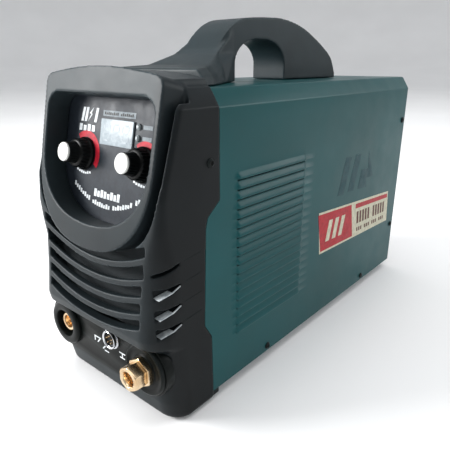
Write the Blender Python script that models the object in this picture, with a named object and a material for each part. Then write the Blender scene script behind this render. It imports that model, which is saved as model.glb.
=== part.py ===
"""TIG welding machine: a portable inverter welder with a carry handle.

Metres, +Z up. The front faces -Y, the origin is under the middle of the machine, on the floor.
"""

import math

import bmesh
import bpy
from mathutils import Matrix, Vector

GAP = 0.0003

# Sheet-steel cover
SIDE_X = 0.0780
SHEET = 0.0012
COVER_BOTTOM_Z = 0.0100
COVER_TOP_Z = 0.2600
SHOULDER_DROP = 0.0135
SHOULDER_RUN = 0.0087
COVER_REAR_Y = 0.2120
COVER_EDGE = (  # (z, y) of the front edge, from the bottom up
    (0.0000, -0.1656),
    (0.0650, -0.1672),
    (0.0780, -0.1752),
    (0.1590, -0.1726),
    (0.1675, -0.1703),
    (0.1784, -0.1566),
    (0.3000, -0.1566),
)

# Pressed louvres on both sides of the cover
LOUVRE_COUNT = 18
LOUVRE_LOW_Z = 0.0515
LOUVRE_HIGH_Z = 0.1970
LOUVRE_FRONT_Y = -0.1370
LOUVRE_REAR_Y = -0.0330
LOUVRE_RAISE = 0.0022
LOUVRE_SLOT = 0.0016

# Front moulding
CHEEK_X = 0.0784
WALL = 0.0030
LIP_WALL = 0.0016
LIP_REAR_Y = -0.1460
LIP_LOW_Z = 0.0300
BEZEL_LEVELS = (  # z, front y, corner run in x, corner run in y, half width
    (0.0030, -0.2080, 0.018, 0.016, 0.0770),
    (0.0060, -0.2095, 0.020, 0.018, CHEEK_X),
    (0.0190, -0.2125, 0.020, 0.020, CHEEK_X),
    (0.0450, -0.2155, 0.020, 0.021, CHEEK_X),
    (0.0690, -0.2185, 0.020, 0.022, CHEEK_X),
    (0.0745, -0.2270, 0.020, 0.023, CHEEK_X),
    (0.0820, -0.2285, 0.020, 0.023, CHEEK_X),
    (0.1050, -0.2255, 0.020, 0.023, CHEEK_X),
    (0.1350, -0.2222, 0.0185, 0.0210, CHEEK_X),
    (0.1500, -0.2220, 0.0140, 0.0160, CHEEK_X),
    (0.1650, -0.2205, 0.0080, 0.0095, CHEEK_X),
    (0.1880, -0.2168, 0.0045, 0.0055, CHEEK_X),
    (0.2100, -0.2098, 0.0040, 0.0050, CHEEK_X),
    (0.2380, -0.2010, 0.0040, 0.0050, CHEEK_X),
    (0.2473, -0.1982, 0.0040, 0.0050, CHEEK_X),
    (0.2608, -0.1950, 0.0040, 0.0050, 0.0697),
)
CORNER_STEPS = 6
BARS = ((0.1308, 0.0109), (0.1174, 0.0087), (0.1041, 0.0086), (0.0911, 0.0086), (0.0783, 0.0086))
BAR_HEIGHT = 0.0052
BAR_SAG_AT = 0.0550
TOP_LINE = (0.1465, 0.0087)
SLOT_ENDS = (0.0650, 0.0628, 0.0608, 0.0600, 0.0600)
SLOT_REAR_Y = -0.2090
SLOT_STEPS = 10
DUCT = ((-0.0590, -0.2195, 0.0745), (0.0590, -0.1950, 0.1500))
FILTER_Y = (-0.2100, -0.2075)
FILTER_TOP_Z = 0.1362
GILLS = (  # floor height in front and behind, mouth height in front
    (0.0850, 0.0912, 0.0082),
    (0.0998, 0.1071, 0.0082),
    (0.1162, 0.1232, 0.0078),
    (0.1326, 0.1398, 0.0030),
)
GILL_REAR_MOUTH = 0.0022
GILL_FRONT_Y = -0.2190
GILL_REAR_Y = -0.2005
GILL_FRONT_X = 0.0665
GILL_REAR_X = 0.0750

# Tilted control panel, in its own frame: x across, -y outwards, z up the slope
PANEL_ORIGIN = Vector((0.0, -0.1940, 0.2055))
PANEL_TILT = math.atan(0.220)
HOOD_FACE = -0.0205
FLOOR = 0.0045
PANEL_SHEET = 0.0020
HOOD = {"half": 0.0701, "straight": 0.0034, "top": 0.0613, "bottom": -0.0700, "corner": 0.0085,
        "power": 2.4, "crown": 0.0052}
WINDOW = {"half": 0.0649, "straight": 0.0044, "top": 0.0465, "bottom": -0.0505, "corner": 0.0126,
          "power": 2.37, "crown": 0.0}
GROOVE = {"half": 0.0750, "straight": 0.0034, "top": 0.0720, "bottom": -0.0668, "corner": 0.0085,
          "power": 3.1, "crown": 0.0}
SHIELD_STEPS = 16
KNOB_X = 0.03675
KNOB_RADIUS = 0.0135
KNOB_TIP = -0.0215
DISPLAY_X = 0.0024
DISPLAY_Z = 0.0200
DISPLAY_WIDTH = 0.0400
DISPLAY_HEIGHT = 0.0202
LAMP_X = 0.0275
LAMP_Z = (0.0268, 0.0185)

# Connector panel
BOSS_FACE_Y = -0.2180
BOSS_FLOOR_Y = -0.2095
BOSS_RADIUS = 0.0236
SOCKET_X = 0.0545
SOCKET_Z = 0.0507
CONTROL_X = 0.0130
CONTROL_Z = 0.0610
SOCKET_RING = 0.0205
TORCH_RING = 0.0220
SOCKET_HOLES = ((-SOCKET_X, SOCKET_Z, 0.0150), (SOCKET_X, SOCKET_Z, 0.0125), (CONTROL_X, CONTROL_Z, 0.0075))
TORCH_TIP_Y = -0.2365
CUP_FLOOR_Y = -0.2095

# Carry handle
HANDLE_HALF = 0.0200
HANDLE_BASE_Z = COVER_TOP_Z + GAP
HANDLE_ARCH = (  # (y, z) through which the top edge of the arch passes
    (-0.1220, 0.2700), (-0.1106, 0.2764), (-0.0953, 0.2869), (-0.0781, 0.3034), (-0.0616, 0.3125),
    (-0.0440, 0.3158), (-0.0074, 0.3180), (0.0192, 0.3169), (0.0509, 0.3102), (0.0884, 0.2951),
    (0.1103, 0.2821), (0.1210, 0.2660),
)
GRIP_FRONT_Y = -0.0680
GRIP_REAR_Y = 0.0120
GRIP_TOP_Z = 0.2977
GRIP_SPRING_Z = 0.2720
SADDLE = (  # y, base half width, top half width, top z
    (-0.1562, 0.0640, 0.0560, 0.2725),
    (-0.1400, 0.0600, 0.0500, 0.2735),
    (-0.1220, 0.0500, 0.0370, 0.2750),
    (-0.1000, 0.0370, 0.0260, 0.2840),
    (-0.0690, 0.0205, 0.0195, 0.3050),
)

# Chassis, rear panel and feet
TRAY_BOTTOM_Z = 0.0085
TRAY_FRONT_Y = -0.1560
FLANGE_TOP_Z = 0.0260
FOOT_X = 0.0520
FOOT_Y = (-0.1250, 0.1800)
FOOT_RADIUS = 0.0100
REAR_OUT_Y = 0.2104
REAR_SHEET = 0.0018
FAN_Z = 0.1500
FAN_HALF = 0.0460
FAN_DUCT = 0.0430
FAN_FRONT_Y = 0.1830
FAN_BLADES = 7
SWITCH_X = 0.0440
SWITCH_Z = 0.2270
GLAND_X = 0.0450
GLAND_Z = 0.0500
SCREW_RADIUS = 0.0019
SCREW_HEAD = 0.0036
CHEEK_SCREW = (-0.1676, 0.2084)
REAR_SCREWS = (("upper", 0.2040, 0.2070), ("lower", 0.2040, 0.0655))
BASE_SCREWS = (("front", -0.0870, 0.0155), ("rear", 0.1210, 0.0160))

BLACK_PLASTIC = ("black_plastic", (0.035, 0.040, 0.043), 0.42, 0.0)
TEAL_PAINT = ("teal_paint", (0.010, 0.120, 0.130), 0.35, 0.2)
ZINC_STEEL = ("zinc_steel", (0.55, 0.56, 0.57), 0.40, 1.0)
BRASS = ("brass", (0.62, 0.42, 0.20), 0.28, 1.0)
CHROME = ("chrome", (0.75, 0.75, 0.77), 0.15, 1.0)
RUBBER = ("rubber", (0.02, 0.02, 0.02), 0.80, 0.0)
PANEL_FILM = ("panel_film", (0.09, 0.09, 0.10), 0.45, 0.0)
PALE_PLASTIC = ("pale_plastic", (0.80, 0.80, 0.78), 0.35, 0.0)
LENS = ("lens", (0.35, 0.38, 0.40), 0.15, 0.0)
LAMP = ("lamp", (0.55, 0.56, 0.55), 0.20, 0.0)
ALUMINIUM = ("aluminium", (0.70, 0.71, 0.72), 0.45, 1.0)
BOARD = ("circuit_board", (0.02, 0.16, 0.07), 0.50, 0.0)
FERRITE = ("ferrite", (0.06, 0.06, 0.07), 0.65, 0.0)
COPPER = ("copper", (0.70, 0.30, 0.14), 0.35, 1.0)
CAPACITOR = ("capacitor_sleeve", (0.03, 0.05, 0.12), 0.40, 0.0)


def clear_scene():
    for obj in list(bpy.data.objects):
        bpy.data.objects.remove(obj, do_unlink=True)


def finish(name, kind):
    """A Principled material of the part's colour, roughness and metallic value."""
    label, colour, roughness, metallic = kind
    material = bpy.data.materials.get(label)
    if material is None:
        material = bpy.data.materials.new(label)
        material.use_nodes = True
        shader = material.node_tree.nodes["Principled BSDF"]
        shader.inputs["Base Color"].default_value = (*colour, 1.0)
        shader.inputs["Roughness"].default_value = roughness
        shader.inputs["Metallic"].default_value = metallic
    obj = bpy.data.objects[name]
    obj.data.materials.clear()
    obj.data.materials.append(material)
    obj.data.shade_smooth()
    obj.data.set_sharp_from_angle(angle=math.radians(32))
    return obj


def empty(name, location, rotation=(0.0, 0.0, 0.0), parent=None):
    marker = bpy.data.objects.new(name, None)
    marker.location = location
    marker.rotation_euler = rotation
    marker.parent = parent
    bpy.context.collection.objects.link(marker)
    return marker


def solid(name, bm, parent=None):
    """Link a closed mesh, with its faces turned outwards."""
    bmesh.ops.recalc_face_normals(bm, faces=bm.faces)
    mesh = bpy.data.meshes.new(name)
    bm.to_mesh(mesh)
    bm.free()
    obj = bpy.data.objects.new(name, mesh)
    obj.parent = parent
    bpy.context.collection.objects.link(obj)
    return obj


def rings_mesh(rings):
    """Skin equal closed loops one after another, and cap both ends."""
    bm = bmesh.new()
    loops = [[bm.verts.new(point) for point in ring] for ring in rings]
    count = len(loops[0])
    for near, far in zip(loops, loops[1:]):
        for i in range(count):
            j = (i + 1) % count
            bm.faces.new((near[i], near[j], far[j], far[i]))
    bm.faces.new(loops[0])
    bm.faces.new(loops[-1])
    return bm


def on_axis(axis, pair, along):
    """A point from its two coordinates across an axis, in X, Y, Z order, and one along it."""
    values = list(pair)
    values.insert("XYZ".index(axis), along)
    return Vector(values)


def prism(name, outline, axis, low, high, parent=None):
    rings = [[on_axis(axis, pair, along) for pair in outline] for along in (low, high)]
    return solid(name, rings_mesh(rings), parent)


def box(name, low, high, parent=None):
    outline = [(low[0], low[1]), (high[0], low[1]), (high[0], high[1]), (low[0], high[1])]
    return prism(name, outline, "Z", low[2], high[2], parent)


def add_block(bm, size, placement):
    bmesh.ops.create_cube(bm, size=1.0, matrix=placement @ Matrix.Diagonal((*size, 1.0)))


def boxes(name, corners, parent=None):
    """Several separate boxes in one cutter or filler mesh."""
    bm = bmesh.new()
    for low, high in corners:
        size = Vector(high) - Vector(low)
        centre = (Vector(high) + Vector(low)) / 2
        add_block(bm, size, Matrix.Translation(centre))
    return solid(name, bm, parent)


def circle(radius, steps, centre=(0.0, 0.0), start=0.0):
    turn = [start + 2 * math.pi * i / steps for i in range(steps)]
    return [(centre[0] + radius * math.cos(a), centre[1] + radius * math.sin(a)) for a in turn]


def rod(name, radius, axis, low, high, centre=(0.0, 0.0), steps=16, parent=None):
    return prism(name, circle(radius, steps, centre, math.pi / steps), axis, low, high, parent)


def turned(name, profile, axis, centre, steps=24, parent=None):
    """A solid of revolution from (radius, along) pairs that start and end with their own caps."""
    rings = [[on_axis(axis, pair, along) for pair in circle(radius, steps, centre)]
             for radius, along in profile]
    return solid(name, rings_mesh(rings), parent)


def combine(target, tool, operation):
    """Apply one exact Boolean and remove its tool."""
    modifier = target.modifiers.new(operation.title(), "BOOLEAN")
    modifier.operation = operation
    modifier.object = tool
    modifier.solver = "EXACT"
    bpy.context.view_layer.update()
    evaluated = target.evaluated_get(bpy.context.evaluated_depsgraph_get())
    mesh = bpy.data.meshes.new_from_object(evaluated)
    target.modifiers.remove(modifier)
    target.data = mesh
    bpy.data.objects.remove(tool, do_unlink=True)


def cut(target, *tools):
    for tool in tools:
        combine(target, tool, "DIFFERENCE")


def join(target, *tools):
    for tool in tools:
        combine(target, tool, "UNION")


def drill(target, radius, axis, low, high, centre, steps=12, parent=None):
    cut(target, rod("drill", radius, axis, low, high, centre, steps, parent))


def lerp_table(table, key):
    """Linear reading of a table of (key, value) pairs."""
    for (k0, v0), (k1, v1) in zip(table, table[1:]):
        if key <= k1:
            return v0 + (v1 - v0) * (key - k0) / (k1 - k0)
    return table[-1][1]


def smooth_path(points, steps):
    """Catmull-Rom points through a chain of pairs."""
    chain = [points[0], *points, points[-1]]
    path = []
    for i in range(1, len(chain) - 2):
        before, start, end, after = (Vector(chain[i + k]) for k in (-1, 0, 1, 2))
        for step in range(steps):
            t = step / steps
            path.append(0.5 * (2 * start + (end - before) * t
                               + (2 * before - 5 * start + 4 * end - after) * t ** 2
                               + (3 * start - before - 3 * end + after) * t ** 3))
    path.append(Vector(points[-1]))
    return [tuple(point) for point in path]


def shield(shape, grow=0.0):
    """Outline with upright sides, rounded top corners and a superellipse below."""
    half = shape["half"] + grow
    top = shape["top"] + grow
    corner = shape["corner"] + grow
    depth = shape["straight"] - shape["bottom"] + grow
    inner = half - corner
    points = []
    for i in range(5):
        angle = math.pi / 2 * i / 4
        points.append((inner + corner * math.cos(angle), top - corner + corner * math.sin(angle)))
    if shape["crown"]:
        for i in range(1, 8):
            x = inner * (1 - i / 4)
            points.append((x, top + shape["crown"] * (1 - (x / inner) ** 2)))
    for i in range(5):
        angle = math.pi / 2 * (1 + i / 4)
        points.append((-inner + corner * math.cos(angle), top - corner + corner * math.sin(angle)))
    for i in range(SHIELD_STEPS + 1):
        angle = math.pi * i / SHIELD_STEPS
        bend = 2 / shape["power"]
        x = math.copysign(abs(math.cos(angle)) ** bend, -math.cos(angle))
        points.append((half * x, shape["straight"] - depth * math.sin(angle) ** bend))
    return points


def folded_section(half, low, high, wall, run, drop):
    """Cross-section of a sheet folded over the top, with sloping shoulders."""
    eave = high - drop
    outer = [(-half, low), (-half, eave), (-half + run, high), (half - run, high), (half, eave), (half, low)]
    lean = wall * math.tan(math.atan2(run, drop) / 2)
    inner_x = half - wall
    roof_x = half - run - wall * math.tan(math.atan2(drop, run) / 2)
    inner = [(inner_x, low), (inner_x, eave - lean), (roof_x, high - wall),
             (-roof_x, high - wall), (-inner_x, eave - lean), (-inner_x, low)]
    return outer + inner


# ---- cover -----------------------------------------------------------------------------------


def side_region(name, shift, ahead):
    """The space in front of the cover's stepped front edge, or behind it."""
    far = -0.30 if ahead else 0.30
    edge = [(y + shift, z) for z, y in COVER_EDGE]
    outline = edge + [(far, COVER_EDGE[-1][0]), (far, COVER_EDGE[0][0])]
    return outline


def build_cover():
    section = folded_section(SIDE_X, COVER_BOTTOM_Z, COVER_TOP_Z, SHEET, SHOULDER_RUN, SHOULDER_DROP)
    cover = prism("cover", section, "Y", -0.20, COVER_REAR_Y)
    front = side_region("front", 0.0, True)
    cut(cover, prism("trim", front, "X", -0.10, 0.10))
    scoops = bmesh.new()
    slots = []
    pitch = (LOUVRE_HIGH_Z - LOUVRE_LOW_Z) / LOUVRE_COUNT
    for side in (-1, 1):
        for i in range(LOUVRE_COUNT):
            low = LOUVRE_LOW_Z + pitch * i
            mouth = low + LOUVRE_SLOT
            profile = [(SIDE_X - SHEET / 2, mouth), (SIDE_X + LOUVRE_RAISE, mouth),
                       (SIDE_X + LOUVRE_RAISE, mouth + 0.0012), (SIDE_X - SHEET / 2, low + pitch - 0.0006)]
            rings = [[Vector((side * x, y, z)) for x, z in profile] for y in (LOUVRE_FRONT_Y, LOUVRE_REAR_Y)]
            loops = [[scoops.verts.new(point) for point in ring] for ring in rings]
            for k in range(4):
                m = (k + 1) % 4
                scoops.faces.new((loops[0][k], loops[0][m], loops[1][m], loops[1][k]))
            scoops.faces.new(loops[0])
            scoops.faces.new(loops[1])
            slots.append(((min(side * 0.07, side * 0.09), LOUVRE_FRONT_Y + 0.002, low),
                          (max(side * 0.07, side * 0.09), LOUVRE_REAR_Y - 0.002, mouth)))
    join(cover, solid("scoops", scoops))
    cut(cover, boxes("slots", slots))
    for y, z in [(y, z) for _, y, z in REAR_SCREWS + BASE_SCREWS]:
        drill(cover, SCREW_RADIUS + GAP, "X", -0.09, 0.09, (y, z))
    finish("cover", TEAL_PAINT)


# ---- front moulding --------------------------------------------------------------------------


def plan_ring(level):
    z, front, run_x, run_y, half = level
    points = [(half, COVER_EDGE[-1][1] - GAP)]
    for i in range(CORNER_STEPS + 1):
        angle = math.pi / 2 * i / CORNER_STEPS
        points.append((half - run_x + run_x * math.cos(angle), front + run_y - run_y * math.sin(angle)))
    return [Vector((x, y, z)) for x, y in points] + [Vector((-x, y, z)) for x, y in reversed(points)]


def bar_line(bar, x, offset):
    height, sag = bar
    return height + sag * (x / BAR_SAG_AT) ** 2 + offset


def slot_outline(upper, lower, end):
    """Curved slot between two louvre bars."""
    xs = [end * (2 * i / SLOT_STEPS - 1) for i in range(SLOT_STEPS + 1)]
    floor = [(x, bar_line(lower, x, BAR_HEIGHT / 2)) for x in xs]
    return floor + [(x, bar_line(upper, x, -BAR_HEIGHT / 2)) for x in reversed(xs)]


def racetrack(radius, grow=0.0, steps=12):
    r = radius + grow
    points = []
    for side, start in ((1, -math.pi / 2), (-1, math.pi / 2)):
        for i in range(steps + 1):
            angle = start + math.pi * i / steps
            points.append((side * SOCKET_X + r * math.cos(angle), SOCKET_Z + r * math.sin(angle)))
    return points


def gill(side, floor_front, floor_rear, mouth):
    """Wedge-shaped pocket behind the pillar: tall and deep in front, running out to a thin line."""
    slope = (floor_rear - floor_front) / (GILL_REAR_Y - GILL_FRONT_Y)
    rings = []
    for x_front, x_rear, lead in ((GILL_FRONT_X, GILL_REAR_X, 0.0), (0.0900, 0.0900, 0.0080)):
        start = floor_front - slope * lead
        rings.append([Vector((side * x, y, z)) for x, y, z in (
            (x_front, GILL_FRONT_Y - lead, start), (x_rear, GILL_REAR_Y, floor_rear),
            (x_rear, GILL_REAR_Y, floor_rear + GILL_REAR_MOUTH), (x_front, GILL_FRONT_Y - lead, start + mouth))])
    return solid("gill", rings_mesh(rings))


def build_bezel(panel):
    bezel = solid("front_bezel", rings_mesh([plan_ring(level) for level in BEZEL_LEVELS]))
    inner = CHEEK_X - WALL
    shoulder = COVER_TOP_Z - SHOULDER_DROP - 0.002
    roof = COVER_TOP_Z - 0.0025
    section = [(-inner, 0.006), (inner, 0.006), (inner, shoulder), (inner - SHOULDER_RUN, roof),
               (-inner + SHOULDER_RUN, roof), (-inner, shoulder)]
    cavity = prism("cavity", section, "Y", -0.1960, -0.10)
    block = prism("block", shield(GROOVE, 0.0026), "Y", -0.05, FLOOR, panel)
    shell = solid("shell", rings_mesh([plan_ring(level) for level in BEZEL_LEVELS]))
    combine(shell, block, "INTERSECT")
    cut(bezel, cavity, box("duct", *DUCT))
    cut(bezel, box("well", (-0.0655, -0.2070, 0.0100), (0.0655, -0.1950, 0.0720)))
    join(bezel, shell)
    cut(bezel, prism("groove", shield(GROOVE), "Y", -0.08, 0.0, panel))
    uppers = (TOP_LINE, *BARS[:-1])
    for upper, lower, end in zip(uppers, BARS, SLOT_ENDS):
        cut(bezel, prism("slot", slot_outline(upper, lower, end), "Y", -0.25, SLOT_REAR_Y))
    join(bezel, prism("hood", shield(HOOD), "Y", HOOD_FACE, 0.0020, panel))
    crown = [(x, z + 0.0028) for x, z in crown_section()]
    join(bezel, prism("crown", crown, "Y", -0.1900, COVER_EDGE[-1][1] - GAP))
    cut(bezel, prism("window", shield(WINDOW), "Y", -0.08, 0.03, panel))
    cut(bezel, prism("pocket", shield(WINDOW, 0.0040), "Y", -GAP, 0.03, panel))
    lip = folded_section(SIDE_X - SHEET - 0.0004, LIP_LOW_Z, COVER_TOP_Z - SHEET - 0.0004, LIP_WALL,
                         SHOULDER_RUN, SHOULDER_DROP)
    join(bezel, prism("lip", lip, "Y", -0.1850, LIP_REAR_Y))
    cut(bezel, prism("boss pocket", racetrack(BOSS_RADIUS, GAP), "Y", -0.25, BOSS_FLOOR_Y))
    behind = side_region("behind", -GAP, False)
    for side in (-1, 1):
        near, far = sorted((side * (SIDE_X - SHEET - GAP), side * 0.09))
        cut(bezel, prism("edge", behind, "X", near, far))
        for shape in GILLS:
            cut(bezel, gill(side, *shape))
    for x, z, radius in SOCKET_HOLES:
        drill(bezel, radius + GAP, "Y", -0.24, -0.17, (x, z), 24)
    drill(bezel, SCREW_RADIUS + GAP, "X", -0.09, 0.09, CHEEK_SCREW)
    finish("front_bezel", BLACK_PLASTIC)


def crown_section():
    """Cross-section of the raised band that runs back from the hood."""
    half = HOOD["half"] - 0.004
    top = PANEL_ORIGIN.z + HOOD["top"]
    steps = 8
    arc = []
    for i in range(steps + 1):
        x = half * (1 - 2 * i / steps)
        arc.append((x, top - 0.0035 + HOOD["crown"] * (1 - (x / half) ** 2)))
    return [(half + 0.003, COVER_TOP_Z - 0.004), *arc, (-half - 0.003, COVER_TOP_Z - 0.004)]


def build_dust_filter():
    """Foam pad across the air duct, close behind the louvre bars."""
    (left, _, low), (right, _, _) = DUCT
    box("dust_filter", (left + GAP, FILTER_Y[0], low + GAP), (right - GAP, FILTER_Y[1], FILTER_TOP_Z))
    finish("dust_filter", RUBBER)


# ---- control panel ---------------------------------------------------------------------------


def build_control_panel(panel):
    plate = prism("control_panel", shield(WINDOW, 0.0036), "Y", 0.0, PANEL_SHEET, panel)
    for side in (-1, 1):
        drill(plate, 0.0050, "Y", -0.01, 0.01, (side * KNOB_X, 0.0), 16, panel)
    half_width = DISPLAY_WIDTH / 2 - 0.002
    half_height = DISPLAY_HEIGHT / 2 - 0.002
    cut(plate, box("display hole", (DISPLAY_X - half_width, -0.01, DISPLAY_Z - half_height),
                   (DISPLAY_X + half_width, 0.01, DISPLAY_Z + half_height), panel))
    for z in LAMP_Z:
        drill(plate, 0.0026, "Y", -0.01, 0.01, (LAMP_X, z), 12, panel)
    finish("control_panel", PANEL_FILM)
    box("display_window", (DISPLAY_X - DISPLAY_WIDTH / 2, -0.0016, DISPLAY_Z - DISPLAY_HEIGHT / 2),
        (DISPLAY_X + DISPLAY_WIDTH / 2, -GAP, DISPLAY_Z + DISPLAY_HEIGHT / 2), panel)
    finish("display_window", LENS)
    box("display_module", (DISPLAY_X - half_width + GAP, 0.0003, DISPLAY_Z - half_height + GAP),
        (DISPLAY_X + half_width - GAP, 0.0120, DISPLAY_Z + half_height - GAP), panel)
    finish("display_module", BLACK_PLASTIC)
    for name, z in zip(("power_lamp", "fault_lamp"), LAMP_Z):
        turned(name, ((0.0012, -0.0022), (0.0023, -0.0012), (0.0023, 0.0060)), "Y", (LAMP_X, z), 12, panel)
        finish(name, LAMP)
    box("control_board", (-0.0560, 0.0126, -0.0380), (0.0560, 0.0142, 0.0420), panel)
    finish("control_board", BOARD)


def build_knob(name, x, panel):
    """Skirted knob, its pale cap, the shaft it sits on and the fixed potentiometer behind."""
    axis = empty(name + "_knob_axis", (x, 0.0, 0.0), parent=panel)
    skirt = KNOB_RADIUS
    profile = ((skirt, -0.0006), (skirt, -0.0026), (0.0124, -0.0034), (0.0118, -0.0092),
               (0.0108, -0.0104), (0.0088, -0.0110), (0.0080, -0.0186), (0.0076, -0.0192))
    knob = turned(name + "_knob", profile, "Y", (0.0, 0.0), 32, axis)
    cut(knob, rod("recess", 0.0062, "Y", -0.0065, 0.01, (0.0, 0.0), 16, axis))
    cut(knob, rod("bore", 0.0032, "Y", -0.0150, 0.01, (0.0, 0.0), 12, axis))
    grips = bmesh.new()
    for i in range(12):
        turn = Matrix.Rotation(2 * math.pi * i / 12, 4, "Y")
        shift = Matrix.Translation((0.0126, -0.0064, 0.0))
        add_block(grips, (0.0024, 0.0048, 0.0018), turn @ shift)
    cut(knob, solid("grips", grips, axis))
    finish(name + "_knob", BLACK_PLASTIC)
    cap = ((0.0074, -0.0195), (0.0074, -0.0207), (0.0066, KNOB_TIP))
    turned(name + "_knob_cap", cap, "Y", (0.0, 0.0), 24, axis)
    finish(name + "_knob_cap", PALE_PLASTIC)
    rod(name + "_shaft", 0.0029, "Y", -0.0147, 0.0075, (0.0, 0.0), 12, axis)
    finish(name + "_shaft", ALUMINIUM)
    pot = box(name + "_potentiometer", (x - 0.0085, 0.0024, -0.0095), (x + 0.0085, 0.0122, 0.0085), panel)
    join(pot, rod("bush", 0.0046, "Y", -0.0045, 0.0050, (x, 0.0), 16, panel))
    cut(pot, rod("bore", 0.0032, "Y", -0.01, 0.0080, (x, 0.0), 12, panel))
    finish(name + "_potentiometer", ALUMINIUM)


# ---- connector panel -------------------------------------------------------------------------


def hexagon(across_flats, centre):
    return circle(across_flats / math.sqrt(3), 6, centre, math.pi / 6)


def build_connectors():
    face = BOSS_FACE_Y
    boss = prism("connector_panel", racetrack(BOSS_RADIUS), "Y", face, BOSS_FLOOR_Y - GAP)
    for x, z, radius in SOCKET_HOLES:
        drill(boss, radius + GAP, "Y", -0.23, -0.19, (x, z), 24)
    finish("connector_panel", BLACK_PLASTIC)

    left = (-SOCKET_X, SOCKET_Z)
    ring = ((0.0150, -0.1850), (0.0150, face - GAP), (SOCKET_RING, face - GAP), (SOCKET_RING, face - 0.0028),
            (SOCKET_RING - 0.0016, face - 0.0042), (0.0140, face - 0.0042))
    body = turned("weld_socket_body", ring, "Y", left, 32)
    cut(body, rod("cup", 0.0125, "Y", -0.25, CUP_FLOOR_Y, left, 24))
    cut(body, rod("bore", 0.0090, "Y", -0.25, -0.1880, left, 24))
    finish("weld_socket_body", BLACK_PLASTIC)
    insert = rod("weld_socket_insert", 0.0087, "Y", CUP_FLOOR_Y - 0.0090, -0.1884, left, 24)
    cut(insert, rod("bore", 0.0058, "Y", -0.25, -0.1960, left, 24))
    finish("weld_socket_insert", BRASS)

    right = (SOCKET_X, SOCKET_Z)
    base_front = face - 0.0034
    base = ((0.0125, -0.1850), (0.0125, face - GAP), (TORCH_RING, face - GAP), (TORCH_RING, face - 0.0022),
            (TORCH_RING - 0.0014, base_front), (0.0100, base_front))
    collar = turned("torch_socket_base", base, "Y", right, 32)
    cut(collar, rod("bore", 0.0078, "Y", -0.25, -0.17, right, 16))
    finish("torch_socket_base", BLACK_PLASTIC)
    nut_front = base_front - 0.0044
    nut = prism("torch_socket_nut", hexagon(0.0220, right), "Y", base_front - GAP, nut_front)
    cut(nut, rod("bore", 0.0078, "Y", -0.25, -0.17, right, 16))
    finish("torch_socket_nut", BRASS)
    stem = prism("torch_socket_body", hexagon(0.0186, right), "Y", nut_front - GAP, TORCH_TIP_Y)
    join(stem, rod("shank", 0.0075, "Y", -0.1780, nut_front - 0.001, right, 16))
    cut(stem, rod("bore", 0.0060, "Y", -0.25, -0.2240, right, 16))
    finish("torch_socket_body", BRASS)

    centre = (CONTROL_X, CONTROL_Z)
    shell = ((0.0073, -0.1950), (0.0073, face - GAP), (0.0092, face - GAP), (0.0092, face - 0.0016),
             (0.0080, face - 0.0016), (0.0080, face - 0.0048))
    ring = turned("control_socket_shell", shell, "Y", centre, 24)
    cut(ring, rod("bore", 0.0064, "Y", -0.25, -0.1980, centre, 20))
    finish("control_socket_shell", CHROME)
    rod("control_socket_insert", 0.0061, "Y", face - 0.0022, -0.1984, centre, 20)
    finish("control_socket_insert", BLACK_PLASTIC)


# ---- handle ----------------------------------------------------------------------------------


def grip_opening():
    """Hand opening: upright sides under a flat arch, open at the foot."""
    mid = (GRIP_FRONT_Y + GRIP_REAR_Y) / 2
    half = (GRIP_REAR_Y - GRIP_FRONT_Y) / 2
    rise = GRIP_TOP_Z - GRIP_SPRING_Z
    steps = 14
    arc = []
    for i in range(steps + 1):
        angle = math.pi * i / steps
        x = math.copysign(abs(math.cos(angle)) ** 0.85, math.cos(angle))
        arc.append((mid + half * x, GRIP_SPRING_Z + rise * math.sin(angle) ** 0.85))
    return [(GRIP_REAR_Y, 0.24), *arc, (GRIP_FRONT_Y, 0.24)]


def build_handle():
    arch = smooth_path(HANDLE_ARCH, 3)
    outline = [(HANDLE_ARCH[0][0], HANDLE_BASE_Z), *arch, (0.1223, HANDLE_BASE_Z)]
    handle = prism("carry_handle", outline, "X", -HANDLE_HALF, HANDLE_HALF)
    rings = []
    for y, base, top, height in SADDLE:
        low = HANDLE_BASE_Z
        ledge = low + 0.55 * (height - low)
        middle = base + 0.35 * (top - base)
        rings.append([Vector((x, y, z)) for x, z in (
            (base, low), (middle, ledge), (top, height), (-top, height), (-middle, ledge), (-base, low))])
    join(handle, solid("saddle", rings_mesh(rings)))
    cut(handle, prism("opening", grip_opening(), "X", -0.08, 0.08))
    finish("carry_handle", BLACK_PLASTIC)


# ---- chassis and rear ------------------------------------------------------------------------


def build_tray():
    half = SIDE_X - SHEET - 0.0004
    low = TRAY_BOTTOM_Z
    wall = 0.0015
    inner = half - wall
    section = [(-half, low), (half, low), (half, FLANGE_TOP_Z), (inner, FLANGE_TOP_Z),
               (inner, low + wall), (-inner, low + wall), (-inner, FLANGE_TOP_Z), (-half, FLANGE_TOP_Z)]
    tray = prism("chassis_tray", section, "Y", TRAY_FRONT_Y, REAR_OUT_Y - REAR_SHEET - GAP)
    for _, y, z in BASE_SCREWS:
        drill(tray, SCREW_RADIUS + GAP, "X", -0.09, 0.09, (y, z))
    finish("chassis_tray", ZINC_STEEL)


def build_feet():
    for end, y in zip(("front", "rear"), FOOT_Y):
        for side, x in (("left", -FOOT_X), ("right", FOOT_X)):
            name = f"foot_{end}_{side}"
            top = TRAY_BOTTOM_Z - GAP
            profile = ((FOOT_RADIUS - 0.001, 0.0), (FOOT_RADIUS, 0.001), (FOOT_RADIUS, top))
            turned(name, profile, "Z", (x, y), 20)
            finish(name, RUBBER)


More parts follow.
